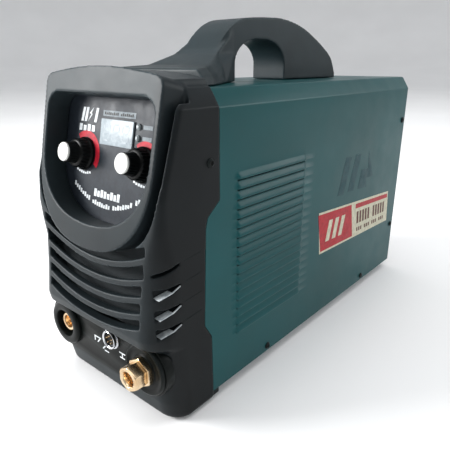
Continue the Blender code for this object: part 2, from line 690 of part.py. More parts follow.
def build_rear_panel():
    half = SIDE_X - SHEET - 0.0004
    top = COVER_TOP_Z - SHEET - 0.0004
    low = TRAY_BOTTOM_Z + 0.0018
    inner = REAR_OUT_Y - REAR_SHEET
    outline = [(-half, low), (half, low), (half, top - SHOULDER_DROP), (half - SHOULDER_RUN, top),
               (-half + SHOULDER_RUN, top), (-half, top - SHOULDER_DROP)]
    panel = prism("rear_panel", outline, "Y", inner, REAR_OUT_Y)
    foot, head = FLANGE_TOP_Z + 0.001, top - SHOULDER_DROP - 0.002
    flanges = [((-half, 0.1960, foot), (-half + 0.0015, inner + 0.001, head)),
               ((half - 0.0015, 0.1960, foot), (half, inner + 0.001, head))]
    join(panel, boxes("flanges", flanges))
    drill(panel, FAN_DUCT, "Y", 0.20, 0.22, (0.0, FAN_Z), 36)
    drill(panel, 0.0080, "Y", 0.20, 0.22, (-GLAND_X, GLAND_Z), 20)
    drill(panel, 0.0060, "Y", 0.20, 0.22, (GLAND_X, GLAND_Z), 16)
    drill(panel, 0.0032, "Y", 0.20, 0.22, (0.0, GLAND_Z), 12)
    cut(panel, box("switch hole", (SWITCH_X - 0.0140, 0.20, SWITCH_Z - 0.0105),
                   (SWITCH_X + 0.0140, 0.22, SWITCH_Z + 0.0105)))
    for _, y, z in REAR_SCREWS:
        drill(panel, SCREW_RADIUS + GAP, "X", -0.09, 0.09, (y, z))
    finish("rear_panel", BLACK_PLASTIC)


def build_fan():
    back = REAR_OUT_Y - REAR_SHEET - GAP
    half = FAN_HALF
    frame = box("fan_frame", (-half, FAN_FRONT_Y, FAN_Z - half), (half, back, FAN_Z + half))
    cut(frame, rod("duct", FAN_DUCT, "Y", 0.10, 0.30, (0.0, FAN_Z), 36))
    join(frame, rod("motor", 0.0170, "Y", FAN_FRONT_Y, FAN_FRONT_Y + 0.0035, (0.0, FAN_Z), 20))
    for i in range(3):
        angle = math.radians(90 + 120 * i)
        along = Vector((math.cos(angle), 0.0, math.sin(angle)))
        turn = Matrix.Rotation(-angle, 4, "Y")
        bm = bmesh.new()
        place = Matrix.Translation(Vector((0, FAN_FRONT_Y + 0.0015, FAN_Z)) + along * 0.030)
        add_block(bm, (0.032, 0.0030, 0.005), place @ turn)
        join(frame, solid("strut", bm))
    finish("fan_frame", BLACK_PLASTIC)

    axis = empty("fan_axis", (0.0, 0.0, FAN_Z))
    rotor = rod("fan_rotor", 0.0180, "Y", FAN_FRONT_Y + 0.0042, back - 0.0030, (0.0, 0.0), 28, axis)
    for i in range(FAN_BLADES):
        bm = bmesh.new()
        turn = Matrix.Rotation(2 * math.pi * i / FAN_BLADES, 4, "Y")
        pitch = Matrix.Rotation(math.radians(38), 4, "X")
        place = Matrix.Translation((0.0285, FAN_FRONT_Y + 0.0128, 0.0))
        add_block(bm, (0.0250, 0.0016, 0.0200), turn @ place @ pitch)
        join(rotor, solid("blade", bm, axis))
    finish("fan_rotor", BLACK_PLASTIC)


def build_fan_guard():
    near = REAR_OUT_Y + GAP
    far = near + 0.0022
    guard = None
    for radius in (0.0450, 0.0340, 0.0230, 0.0120):
        ring = rod("fan_guard", radius, "Y", near, far, (0.0, FAN_Z), 32)
        cut(ring, rod("inside", radius - 0.0022, "Y", 0.20, 0.22, (0.0, FAN_Z), 32))
        if guard is None:
            guard = ring
        else:
            join(guard, ring)
    for i in range(2):
        bm = bmesh.new()
        turn = Matrix.Rotation(math.pi / 4 + math.pi / 2 * i, 4, "Y")
        place = Matrix.Translation((0.0, (near + far) / 2, FAN_Z))
        add_block(bm, (0.1180, 0.0018, 0.0030), place @ turn)
        join(guard, solid("spoke", bm))
    finish("fan_guard", ZINC_STEEL)


def build_rear_fittings():
    frame = box("power_switch_frame", (SWITCH_X - 0.0155, REAR_OUT_Y + GAP, SWITCH_Z - 0.0125),
                (SWITCH_X + 0.0155, REAR_OUT_Y + 0.0030, SWITCH_Z + 0.0125))
    join(frame, box("barrel", (SWITCH_X - 0.0137, 0.1960, SWITCH_Z - 0.0102),
                    (SWITCH_X + 0.0137, REAR_OUT_Y + 0.001, SWITCH_Z + 0.0102)))
    cut(frame, box("well", (SWITCH_X - 0.0120, 0.2020, SWITCH_Z - 0.0085),
                   (SWITCH_X + 0.0120, 0.2200, SWITCH_Z + 0.0085)))
    finish("power_switch_frame", BLACK_PLASTIC)
    axis = empty("rocker_axis", (SWITCH_X, REAR_OUT_Y + 0.0005, SWITCH_Z))
    outline = [(0.0106, -0.0040), (0.0106, 0.0016), (0.0, 0.0028), (-0.0106, 0.0048), (-0.0106, -0.0040)]
    prism("power_switch_rocker", outline, "Z", -0.0080, 0.0080, axis)
    finish("power_switch_rocker", RUBBER)

    near = REAR_OUT_Y + GAP
    gland = turned("cable_gland", ((0.0077, 0.1960), (0.0077, near), (0.0125, near), (0.0125, near + 0.0050),
                                   (0.0105, near + 0.0060), (0.0105, near + 0.0140), (0.0090, near + 0.0170)),
                   "Y", (-GLAND_X, GLAND_Z), 24)
    cut(gland, rod("bore", 0.0050, "Y", 0.10, 0.30, (-GLAND_X, GLAND_Z), 16))
    finish("cable_gland", BLACK_PLASTIC)
    inlet = prism("gas_inlet", hexagon(0.0170, (GLAND_X, GLAND_Z)), "Y", near, near + 0.0055)
    barb = turned("barb", ((0.0055, near + 0.005), (0.0042, near + 0.0090), (0.0052, near + 0.0095),
                           (0.0040, near + 0.0155), (0.0050, near + 0.0160), (0.0036, 0.2358)),
                  "Y", (GLAND_X, GLAND_Z), 16)
    join(inlet, barb, rod("thread", 0.0055, "Y", 0.2010, near + 0.001, (GLAND_X, GLAND_Z), 16))
    cut(inlet, rod("bore", 0.0025, "Y", 0.10, 0.30, (GLAND_X, GLAND_Z), 10))
    finish("gas_inlet", BRASS)
    stud = prism("earth_stud", hexagon(0.0100, (0.0, GLAND_Z)), "Y", near, near + 0.0045)
    join(stud, rod("thread", 0.0029, "Y", 0.1980, near + 0.0120, (0.0, GLAND_Z), 12))
    finish("earth_stud", ZINC_STEEL)


# ---- screws ----------------------------------------------------------------------------------


def build_screw(name, side, face, y, z):
    """Domed cross-recess screw through a side wall."""
    profile = ((SCREW_RADIUS, side * 0.0700), (SCREW_RADIUS, side * (face + GAP)), (SCREW_HEAD, side * (face + GAP)),
               (SCREW_HEAD - 0.0003, side * (face + 0.0010)), (0.0022, side * (face + 0.0018)))
    screw = turned(name, profile, "X", (y, z), 12)
    reach = side * (face + 0.0012)
    near, far = sorted((reach, side * (face + 0.004)))
    cut(screw, boxes("cross", [((near, y - 0.0016, z - 0.0004), (far, y + 0.0016, z + 0.0004))]))
    cut(screw, boxes("cross", [((near, y - 0.0004, z - 0.0016), (far, y + 0.0004, z + 0.0016))]))
    finish(name, BLACK_PLASTIC)


def build_screws():
    for label, side in (("left", -1), ("right", 1)):
        build_screw(f"screw_cheek_{label}", side, CHEEK_X, *CHEEK_SCREW)
        for place, y, z in REAR_SCREWS:
            build_screw(f"screw_back_{place}_{label}", side, SIDE_X, y, z)
        for place, y, z in BASE_SCREWS:
            build_screw(f"screw_base_{place}_{label}", side, SIDE_X, y, z)


# ---- inside ----------------------------------------------------------------------------------


def build_heatsink(name, low_z, fins_up):
    """Extruded heatsink: a base plate with upright fins along the air flow."""
    half, base, height, fin = 0.0580, 0.0060, 0.0360, 0.0018
    spaces = 9
    pitch = (2 * half - fin) / spaces
    comb = [(-half, 0.0), (half, 0.0)]
    for i in range(spaces + 1):
        right = half - pitch * i
        comb += [(right, height), (right - fin, height)]
        if i < spaces:
            comb += [(right - fin, base), (right - pitch, base)]
    if not fins_up:
        comb = [(x, height - z) for x, z in comb]
    prism(name, [(x, low_z + z) for x, z in comb], "Y", -0.0300, 0.1500)
    finish(name, ALUMINIUM)


def build_power_stage():
    floor = TRAY_BOTTOM_Z + 0.0015
    build_heatsink("heatsink_lower", floor + GAP, False)
    board_z = 0.1130
    build_heatsink("heatsink_upper", board_z - 0.0360 - GAP, False)
    box("main_board", (-0.0680, -0.1180, board_z), (0.0680, 0.1560, board_z + 0.0016))
    finish("main_board", BOARD)
    for label, x in (("left", -0.0280), ("right", 0.0280)):
        name = f"bus_capacitor_{label}"
        foot = board_z + 0.0016 + GAP
        turned(name, ((0.0170, foot), (0.0175, foot + 0.002), (0.0175, foot + 0.044), (0.0165, foot + 0.046)),
               "Z", (x, 0.0500), 24)
        finish(name, CAPACITOR)


def build_magnetics():
    floor = TRAY_BOTTOM_Z + 0.0015 + GAP
    y0, y1 = -0.1150, -0.0650
    core = box("transformer_core", (0.0080, y0, floor), (0.0620, y1, floor + 0.0500))
    windows = [((0.0170, y0 - 0.01, floor + 0.0100), (0.0280, y1 + 0.01, floor + 0.0400)),
               ((0.0420, y0 - 0.01, floor + 0.0100), (0.0530, y1 + 0.01, floor + 0.0400))]
    cut(core, boxes("windows", windows))
    finish("transformer_core", FERRITE)
    winding = box("transformer_winding", (0.0176, y0 - 0.0080, floor + 0.0106), (0.0524, y1 + 0.0080, floor + 0.0394))
    cut(winding, box("limb", (0.0276, y0 - 0.0004, floor - 0.01), (0.0424, y1 + 0.0004, floor + 0.06)))
    finish("transformer_winding", COPPER)

    centre = (-0.0900, floor + 0.0290)
    core = rod("choke_core", 0.0200, "X", -0.0420, -0.0280, centre, 24)
    cut(core, rod("hole", 0.0110, "X", -0.06, 0.0, centre, 20))
    finish("choke_core", FERRITE)
    half = 0.0290
    coil = rod("choke_winding", half, "X", -0.0500, -0.0200, centre, 24)
    cut(coil, rod("hole", 0.0050, "X", -0.06, 0.0, centre, 16))
    slot = rod("core space", 0.0203, "X", -0.0423, -0.0277, centre, 24)
    cut(slot, rod("hole", 0.0107, "X", -0.06, 0.0, centre, 20))
    cut(coil, slot)
    low, high = centre[1] - half - 0.01, centre[1] + half + 0.01
    cut(coil, box("lead gap", (-0.06, centre[0] - 0.0040, centre[1]), (-0.01, centre[0] + 0.0040, high)))
    finish("choke_winding", COPPER)


def build_gas_valve():
    valve = box("gas_valve", (GLAND_X - 0.0110, 0.1620, GLAND_Z - 0.0110), (GLAND_X + 0.0110, 0.1960, GLAND_Z + 0.0110))
    join(valve, rod("coil", 0.0095, "Z", GLAND_Z + 0.010, GLAND_Z + 0.0340, (GLAND_X, 0.1760), 20))
    join(valve, rod("outlet", 0.0045, "Y", 0.1540, 0.1640, (GLAND_X, GLAND_Z), 12))
    finish("gas_valve", BRASS)


def main():
    clear_scene()
    panel = empty("panel_frame", PANEL_ORIGIN, (-PANEL_TILT, 0.0, 0.0))
    bpy.context.view_layer.update()
    build_cover()
    build_bezel(panel)
    build_dust_filter()
    build_control_panel(panel)
    build_knob("current", -KNOB_X, panel)
    build_knob("gas", KNOB_X, panel)
    build_connectors()
    build_handle()
    build_tray()
    build_feet()
    build_rear_panel()
    build_fan()
    build_fan_guard()
    build_rear_fittings()
    build_screws()
    build_power_stage()
    build_magnetics()
    build_gas_valve()


main()
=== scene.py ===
"""Looks of the TIG welding machine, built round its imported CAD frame."""

import math

import bmesh
import bpy
from mathutils import Matrix, Vector


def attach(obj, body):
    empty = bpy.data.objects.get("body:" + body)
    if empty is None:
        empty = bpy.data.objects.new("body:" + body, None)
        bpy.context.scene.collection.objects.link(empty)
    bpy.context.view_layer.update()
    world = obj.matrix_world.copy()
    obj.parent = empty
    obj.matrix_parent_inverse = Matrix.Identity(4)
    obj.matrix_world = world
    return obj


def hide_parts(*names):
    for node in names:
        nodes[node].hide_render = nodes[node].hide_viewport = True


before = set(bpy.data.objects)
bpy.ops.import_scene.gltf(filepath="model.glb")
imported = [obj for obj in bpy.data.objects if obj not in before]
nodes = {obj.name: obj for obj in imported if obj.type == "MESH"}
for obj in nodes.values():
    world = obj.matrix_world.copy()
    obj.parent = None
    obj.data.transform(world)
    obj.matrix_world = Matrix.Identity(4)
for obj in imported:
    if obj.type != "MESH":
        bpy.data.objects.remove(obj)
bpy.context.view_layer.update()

# ---- dimensions, in metres, as in the CAD ----------------------------------------------------

PANEL_ORIGIN = Vector((0.0, -0.1940, 0.2055))
PANEL_TILT = math.atan(0.220)
PANEL = Matrix.Translation(PANEL_ORIGIN) @ Matrix.Rotation(-PANEL_TILT, 4, "X")
HOOD_FACE = -0.0205
HOOD = {"half": 0.0701, "straight": 0.0034, "top": 0.0613, "bottom": -0.0700, "corner": 0.0085,
        "power": 2.4, "crown": 0.0052}
WINDOW = {"half": 0.0649, "straight": 0.0044, "top": 0.0465, "bottom": -0.0505, "corner": 0.0126,
          "power": 2.37, "crown": 0.0}
GROOVE = {"half": 0.0750, "straight": 0.0034, "top": 0.0720, "bottom": -0.0668, "corner": 0.0085,
          "power": 3.1, "crown": 0.0}
BEZEL_REAR_Y = -0.1569
BEZEL_LEVELS = (  # z, front y, corner run in x, corner run in y, half width
    (0.0030, -0.2080, 0.018, 0.016, 0.0770),
    (0.0060, -0.2095, 0.020, 0.018, 0.0784),
    (0.0190, -0.2125, 0.020, 0.020, 0.0784),
    (0.0450, -0.2155, 0.020, 0.021, 0.0784),
    (0.0690, -0.2185, 0.020, 0.022, 0.0784),
    (0.0745, -0.2270, 0.020, 0.023, 0.0784),
    (0.0820, -0.2285, 0.020, 0.023, 0.0784),
    (0.1050, -0.2255, 0.020, 0.023, 0.0784),
    (0.1350, -0.2222, 0.0185, 0.0210, 0.0784),
    (0.1500, -0.2220, 0.0140, 0.0160, 0.0784),
    (0.1650, -0.2205, 0.0080, 0.0095, 0.0784),
    (0.1880, -0.2168, 0.0045, 0.0055, 0.0784),
    (0.2100, -0.2098, 0.0040, 0.0050, 0.0784),
    (0.2380, -0.2010, 0.0040, 0.0050, 0.0784),
    (0.2473, -0.1982, 0.0040, 0.0050, 0.0784),
    (0.2608, -0.1950, 0.0040, 0.0050, 0.0697),
)
BARS = ((0.1308, 0.0109), (0.1174, 0.0087), (0.1041, 0.0086), (0.0911, 0.0086), (0.0783, 0.0086))
BAR_HEIGHT = 0.0052
TOP_LINE = (0.1465, 0.0087)
SLOT_ENDS = (0.0650, 0.0628, 0.0608, 0.0600, 0.0600)
GILLS = (  # floor height in front and behind, mouth height in front
    (0.0850, 0.0912, 0.0082), (0.0998, 0.1071, 0.0082), (0.1162, 0.1232, 0.0078), (0.1326, 0.1398, 0.0030))
COVER_EDGE = ((0.0, -0.1656), (0.065, -0.1672), (0.078, -0.1752), (0.159, -0.1726), (0.1675, -0.1703),
              (0.1784, -0.1566), (0.3, -0.1566))
SIDE_X = 0.0780
COVER_TOP_Z = 0.2600
COVER_REAR_Y = 0.2120
SHEET = 0.0012
LOUVRE_COUNT = 18
LOUVRE_Z = (0.0515, 0.1970)
LOUVRE_Y = (-0.1370, -0.0330)
BOSS_FACE_Y = -0.2180
BOSS_RADIUS = 0.0236
SOCKET = (0.0545, 0.0507)
CONTROL = (0.0130, 0.0610)
DISPLAY_X = 0.0024
KNOB_X = 0.03675
HANDLE_ARCH = ((-0.1220, 0.2700), (-0.1106, 0.2764), (-0.0953, 0.2869), (-0.0781, 0.3034), (-0.0616, 0.3125),
               (-0.0440, 0.3158), (-0.0074, 0.3180), (0.0192, 0.3169), (0.0509, 0.3102), (0.0884, 0.2951),
               (0.1103, 0.2821), (0.1210, 0.2660))
SADDLE = ((-0.1562, 0.0640, 0.0560, 0.2725), (-0.1400, 0.0600, 0.0500, 0.2735), (-0.1220, 0.0500, 0.0370, 0.2750),
          (-0.1000, 0.0370, 0.0260, 0.2840), (-0.0690, 0.0205, 0.0195, 0.3050))
GRIP = (-0.0680, 0.0120, 0.2720, 0.2977)

# ---- materials -------------------------------------------------------------------------------


def srgb(r, g, b):
    return tuple(((c / 255 + 0.055) / 1.055) ** 2.4 if c > 10 else c / 255 / 12.92 for c in (r, g, b)) + (1.0,)


class Surface:
    """A Principled material with a few helpers for its procedural detail."""

    def __init__(self, name, metallic=0.0, **constants):
        self.material = bpy.data.materials.new(name)
        self.material.use_nodes = True
        self.tree = self.material.node_tree
        self.shader = self.tree.nodes["Principled BSDF"]
        self.shader.inputs["Metallic"].default_value = metallic
        for label, value in constants.items():
            self.shader.inputs[label.replace("_", " ")].default_value = value
        self.coords = self.tree.nodes.new("ShaderNodeTexCoord").outputs["Object"]
        self.height = None

    def link(self, source, target):
        self.tree.links.new(source, target)

    def mapped(self, scale=(1, 1, 1), rotation=(0, 0, 0)):
        node = self.tree.nodes.new("ShaderNodeMapping")
        node.inputs["Scale"].default_value = scale
        node.inputs["Rotation"].default_value = rotation
        self.link(self.coords, node.inputs["Vector"])
        return node.outputs["Vector"]

    def noise(self, scale, detail=3.0, rough=0.5, vector=None):
        node = self.tree.nodes.new("ShaderNodeTexNoise")
        node.inputs["Scale"].default_value = scale
        node.inputs["Detail"].default_value = detail
        node.inputs["Roughness"].default_value = rough
        self.link(vector or self.coords, node.inputs["Vector"])
        return node.outputs["Fac"]

    def cells(self, scale, vector=None):
        node = self.tree.nodes.new("ShaderNodeTexVoronoi")
        node.inputs["Scale"].default_value = scale
        self.link(vector or self.coords, node.inputs["Vector"])
        return node.outputs["Distance"]

    def ramp(self, factor, stops):
        node = self.tree.nodes.new("ShaderNodeValToRGB")
        elements = node.color_ramp.elements
        while len(elements) < len(stops):
            elements.new(0.5)
        for element, (position, colour) in zip(elements, stops):
            element.position = position
            element.color = colour
        self.link(factor, node.inputs["Fac"])
        return node.outputs["Color"]

    def spread(self, factor, low, high, start=0.3, end=0.7):
        node = self.tree.nodes.new("ShaderNodeMapRange")
        for label, value in (("From Min", start), ("From Max", end), ("To Min", low), ("To Max", high)):
            node.inputs[label].default_value = value
        self.link(factor, node.inputs["Value"])
        return node.outputs["Result"]

    def mix(self, factor, first, second):
        node = self.tree.nodes.new("ShaderNodeMix")
        node.data_type = "RGBA"
        self.link(factor, node.inputs["Factor"])
        for value, socket in ((first, node.inputs[6]), (second, node.inputs[7])):
            if isinstance(value, tuple):
                socket.default_value = value
            else:
                self.link(value, socket)
        return node.outputs[2]

    def edges(self, start=0.52, end=0.60):
        geometry = self.tree.nodes.new("ShaderNodeNewGeometry")
        return self.spread(geometry.outputs["Pointiness"], 0.0, 1.0, start, end)

    def colour(self, output):
        self.link(output, self.shader.inputs["Base Color"])

    def roughness(self, output):
        self.link(output, self.shader.inputs["Roughness"])

    def bump(self, output, strength, distance):
        node = self.tree.nodes.new("ShaderNodeBump")
        node.inputs["Strength"].default_value = strength
        node.inputs["Distance"].default_value = distance
        self.link(output, node.inputs["Height"])
        if self.height is not None:
            self.link(self.height, node.inputs["Normal"])
        self.height = node.outputs["Normal"]
        self.link(self.height, self.shader.inputs["Normal"])


def moulded(name, dark, light, rough=(0.36, 0.48), wear=None, grain=0.10, shine=0.2):
    """Spark-eroded plastic: fine grain, slow tone changes and slightly polished edges."""
    s = Surface(name, IOR=1.46, Specular_IOR_Level=shine)
    slow = s.noise(18.0, 4.0, 0.6)
    tone = s.ramp(slow, ((0.30, dark), (0.72, light)))
    s.colour(s.mix(s.edges(), tone, wear) if wear else tone)
    s.roughness(s.spread(s.noise(45.0, 5.0, 0.65), rough[0], rough[1]))
    s.bump(s.cells(1500.0), grain, 0.00012)
    s.bump(s.noise(600.0, 2.0), grain, 0.00008)
    return s.material


def with_painted_shade_and_light(material):
    """Same plastic with painted light and shade: darker towards the cheeks and low down as painted shade, lightest on
    the hood's brow as painted light.
    """
    tree = material.node_tree
    shader = tree.nodes["Principled BSDF"]
    source = shader.inputs["Base Color"].links[0].from_socket
    parts = tree.nodes.new("ShaderNodeSeparateXYZ")
    tree.links.new(tree.nodes["Texture Coordinate"].outputs["Object"], parts.inputs["Vector"])
    side = tree.nodes.new("ShaderNodeMapRange")
    rise = tree.nodes.new("ShaderNodeMapRange")
    # painted shade towards the cheeks (x) and painted light rising to the brow (z)
    for node, socket, values in ((side, "X", (0.060, 0.0775, 1.0, 0.30)), (rise, "Z", (0.13, 0.29, 0.75, 1.35))):
        for label, value in zip(("From Min", "From Max", "To Min", "To Max"), values):
            node.inputs[label].default_value = value
        tree.links.new(parts.outputs[socket], node.inputs["Value"])
    both = tree.nodes.new("ShaderNodeMath")
    both.operation = "MULTIPLY"
    tree.links.new(side.outputs["Result"], both.inputs[0])
    tree.links.new(rise.outputs["Result"], both.inputs[1])
    scaled = tree.nodes.new("ShaderNodeVectorMath")
    scaled.operation = "SCALE"
    tree.links.new(source, scaled.inputs[0])
    tree.links.new(both.outputs[0], scaled.inputs["Scale"])
    tree.links.new(scaled.outputs[0], shader.inputs["Base Color"])
    return material


def painted(name, dark, light, rough=(0.30, 0.42)):
    """Powder coat with a faint orange peel and a few fine rub marks."""
    s = Surface(name, Coat_Weight=0.08, Coat_Roughness=0.22, IOR=1.5, Specular_IOR_Level=0.16)
    slow = s.noise(7.0, 3.0, 0.5)
    tone = s.ramp(slow, ((0.32, dark), (0.70, light)))
    rubbed = s.spread(s.noise(1.0, 6.0, 0.7, s.mapped((14.0, 90.0, 420.0), (0.3, 0.0, 0.0))), 0.0, 0.35, 0.62, 0.80)
    s.colour(s.mix(rubbed, tone, light))
    s.roughness(s.spread(s.noise(30.0, 4.0, 0.6), rough[0], rough[1]))
    s.bump(s.noise(420.0, 2.0, 0.4), 0.10, 0.00015)
    s.bump(s.cells(1400.0), 0.05, 0.00005)
    return s.material


def metal(name, dark, light, rough=(0.22, 0.38), stretch=(1, 1, 1), fine=900.0, strength=0.12):
    """Bare or plated metal with machining lines along the unstretched direction."""
    s = Surface(name, metallic=1.0)
    lines = s.noise(fine, 2.0, 0.5, s.mapped(stretch))
    stain = s.noise(60.0, 4.0, 0.6)
    s.colour(s.mix(s.spread(stain, 0.0, 1.0, 0.35, 0.7), dark, light))
    s.roughness(s.spread(stain, rough[1], rough[0]))
    s.bump(lines, strength, 0.00005)
    return s.material


def printed(name, tone, shade, rough=0.45):
    """Screen print or label film: slightly uneven ink."""
    s = Surface(name, IOR=1.45, Specular_IOR_Level=0.2)
    s.colour(s.ramp(s.noise(260.0, 4.0, 0.6), ((0.35, shade), (0.62, tone))))
    s.roughness(s.spread(s.noise(90.0), rough - 0.06, rough + 0.08))
    s.bump(s.noise(1500.0, 2.0), 0.05, 0.00003)
    return s.material


def board_material():
    s = Surface("solder_mask")
    tracks = s.cells(260.0, s.mapped((1.0, 1.0, 0.2)))
    s.colour(s.ramp(tracks, ((0.20, srgb(16, 78, 44)), (0.34, srgb(9, 50, 30)), (0.60, srgb(14, 66, 38)))))
    s.roughness(s.spread(s.noise(300.0), 0.35, 0.55))
    s.bump(tracks, 0.15, 0.0001)
    return s.material


def copper_material():
    s = Surface("enamelled_copper", metallic=1.0)
    wave = s.tree.nodes.new("ShaderNodeTexWave")
    wave.bands_direction = "Z"
    wave.inputs["Scale"].default_value = 180.0
    wave.inputs["Distortion"].default_value = 0.6
    s.link(s.coords, wave.inputs["Vector"])
    s.colour(s.ramp(wave.outputs["Fac"], ((0.1, srgb(92, 44, 22)), (0.8, srgb(190, 104, 58)))))
    s.roughness(s.spread(s.noise(200.0), 0.25, 0.45))
    s.bump(wave.outputs["Fac"], 0.5, 0.0004)
    return s.material


def floor_material():
    s = Surface("studio_floor")
    s.colour(s.ramp(s.noise(1.6, 2.0), ((0.3, (0.90, 0.90, 0.90, 1)), (0.7, (0.94, 0.94, 0.94, 1)))))
    s.roughness(s.spread(s.noise(3.0), 0.75, 0.9))
    return s.material


# hood plastic: painted shade on the cheeks and low down, painted light on the brow
PLASTIC = with_painted_shade_and_light(moulded("hood_plastic", srgb(30, 36, 39), srgb(38, 46, 49), (0.36, 0.44),
                              srgb(66, 77, 82), shine=0.16))
HANDLE_PLASTIC = moulded("handle_plastic", srgb(32, 42, 45), srgb(40, 51, 55), (0.38, 0.48),
                         srgb(66, 78, 83), shine=0.2)
BLACK = moulded("black_plastic", srgb(9, 11, 10), srgb(13, 16, 15), (0.30, 0.40), srgb(30, 35, 35), shine=0.1)
DEEP_BLACK = moulded("deep_black_plastic", srgb(6, 7, 7), srgb(9, 11, 11), (0.28, 0.38), shine=0.12)
REAR_PLASTIC = moulded("rear_plastic", srgb(20, 23, 24), srgb(28, 31, 33), (0.42, 0.55), srgb(56, 60, 62))
RUBBER = moulded("rubber", srgb(16, 16, 17), srgb(26, 26, 27), (0.70, 0.86), None, 0.25)
FOAM = moulded("filter_foam", srgb(34, 38, 40), srgb(46, 50, 52), (0.8, 0.95), None, 0.9)
PANEL_FILM = printed("panel_film", srgb(38, 44, 51), srgb(31, 36, 43), 0.42)
TEAL = painted("teal_powder_coat", srgb(4, 64, 66), srgb(7, 73, 76))
BRASS = metal("turned_brass", srgb(196, 164, 124), srgb(232, 210, 176), (0.20, 0.32), (1, 6, 1))
CHROME = metal("chrome_plate", srgb(190, 192, 196), srgb(224, 226, 228), (0.08, 0.18), (1, 4, 1), 500.0, 0.04)
ZINC = metal("zinc_plate", srgb(150, 154, 158), srgb(192, 196, 200), (0.30, 0.46), (1, 0.2, 1), 700.0)
ALUMINIUM = metal("extruded_aluminium", srgb(172, 176, 180), srgb(206, 208, 212), (0.34, 0.50), (8, 0.3, 8))
FERRITE = moulded("ferrite", srgb(32, 32, 34), srgb(44, 43, 45), (0.55, 0.75), srgb(70, 68, 70), 0.35)
SLEEVE = painted("capacitor_sleeve", srgb(20, 28, 62), srgb(28, 38, 80), (0.35, 0.5))
PALE = printed("pale_plastic", srgb(236, 236, 230), srgb(214, 216, 212), 0.30)
# painted highlight: pale strips for the light caught on the gill floors
GILL_PAINTED_HIGHLIGHT = printed("gill_floor_painted_highlight", srgb(206, 212, 214), srgb(150, 158, 162), 0.35)
WHITE_INK = printed("white_ink", srgb(226, 230, 232), srgb(188, 194, 198), 0.5)
GREY_INK = printed("grey_ink", srgb(134, 142, 146), srgb(110, 118, 124), 0.5)
RED_INK = printed("red_ink", srgb(196, 34, 52), srgb(158, 24, 42), 0.45)
DECAL_RED = printed("decal_red", srgb(176, 36, 46), srgb(150, 28, 38), 0.38)
DECAL_CREAM = printed("decal_cream", srgb(204, 200, 178), srgb(182, 178, 156), 0.38)
DECAL_BROWN = printed("decal_brown", srgb(96, 50, 36), srgb(74, 38, 28), 0.38)
GHOST_INK = printed("ghost_ink", srgb(6, 62, 68), srgb(5, 54, 60), 0.4)
DISPLAY = printed("display_face", srgb(166, 175, 180), srgb(148, 158, 164), 0.22)
SEGMENT = printed("display_segments", srgb(156, 166, 171), srgb(144, 154, 160), 0.3)
LAMP_GLASS = printed("frosted_lamp", srgb(150, 158, 160), srgb(118, 126, 130), 0.25)

# ---- mesh helpers ----------------------------------------------------------------------------


def link_mesh(name, bm, matrix=None):
    bmesh.ops.recalc_face_normals(bm, faces=bm.faces)
    mesh = bpy.data.meshes.new(name)
    bm.to_mesh(mesh)
    bm.free()
    if matrix is not None:
        mesh.transform(matrix)
    obj = bpy.data.objects.new(name, mesh)
    bpy.context.scene.collection.objects.link(obj)
    return obj


def skin(bm, rings, caps=True):
    """Skin equal closed loops, and cap the ends."""
    loops = [[bm.verts.new(point) for point in ring] for ring in rings]
    count = len(loops[0])
    for near, far in zip(loops, loops[1:]):
        for i in range(count):
            j = (i + 1) % count
            bm.faces.new((near[i], near[j], far[j], far[i]))
    if caps:
        bm.faces.new(loops[0])
        bm.faces.new(loops[-1])


def on_axis(axis, pair, along):
    values = list(pair)
    values.insert("XYZ".index(axis), along)
    return Vector(values)


def prism(name, outline, axis, low, high, matrix=None):
    bm = bmesh.new()
    skin(bm, [[on_axis(axis, pair, along) for pair in outline] for along in (low, high)])
    return link_mesh(name, bm, matrix)


def box(name, low, high, matrix=None):
    outline = [(low[0], low[1]), (high[0], low[1]), (high[0], high[1]), (low[0], high[1])]
    return prism(name, outline, "Z", low[2], high[2], matrix)


def circle(radius, steps, centre=(0.0, 0.0), start=0.0):
    turn = [start + 2 * math.pi * i / steps for i in range(steps)]
    return [(centre[0] + radius * math.cos(a), centre[1] + radius * math.sin(a)) for a in turn]


def lathe(name, profile, axis, centre, steps=64, matrix=None, bm=None):
    """A turned solid from (radius, along) pairs."""
    own = bm is None
    bm = bm or bmesh.new()
    skin(bm, [[on_axis(axis, pair, along) for pair in circle(radius, steps, centre)] for radius, along in profile])
    return link_mesh(name, bm, matrix) if own else None


def combine(target, tool, operation="DIFFERENCE"):
    modifier = target.modifiers.new("Cut", "BOOLEAN")
    modifier.operation = operation
    modifier.object = tool
    modifier.solver = "EXACT"
    settle(target)
    bpy.data.objects.remove(tool, do_unlink=True)


def settle(obj):
    """Apply every modifier."""
    bpy.context.view_layer.update()
    evaluated = obj.evaluated_get(bpy.context.evaluated_depsgraph_get())
    mesh = bpy.data.meshes.new_from_object(evaluated)
    obj.modifiers.clear()
    obj.data = mesh


def cut(target, *tools):
    for tool in tools:
        combine(target, tool, "DIFFERENCE")


def join(target, *tools):
    for tool in tools:
        combine(target, tool, "UNION")


def mould(obj, voxel, rounds, keep):
    """Turn a sharp solid into one evenly rounded skin, as a moulding has."""
    remesh = obj.modifiers.new("Remesh", "REMESH")
    remesh.mode = "VOXEL"
    remesh.voxel_size = voxel
    smooth = obj.modifiers.new("Round", "SMOOTH")
    smooth.factor = 0.5
    smooth.iterations = rounds
    if keep < 1.0:
        decimate = obj.modifiers.new("Thin", "DECIMATE")
        decimate.ratio = keep
    settle(obj)


def soften(obj, width, segments=3, angle=35.0):
    """Rounded edges."""
    bevel = obj.modifiers.new("Edges", "BEVEL")
    bevel.width = width
    bevel.segments = segments
    bevel.limit_method = "ANGLE"
    bevel.angle_limit = math.radians(angle)
    bevel.harden_normals = False
    settle(obj)


def place(obj, material, body="machine", stands_for=(), sharp=38.0):
    """Shade a piece, give it its material and let it ride on its body."""
    obj.data.materials.clear()
    obj.data.materials.append(material)
    obj.data.shade_smooth()
    if sharp:
        obj.data.set_sharp_from_angle(angle=math.radians(sharp))
    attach(obj, body)
    if stands_for:
        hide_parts(*stands_for)
    return obj


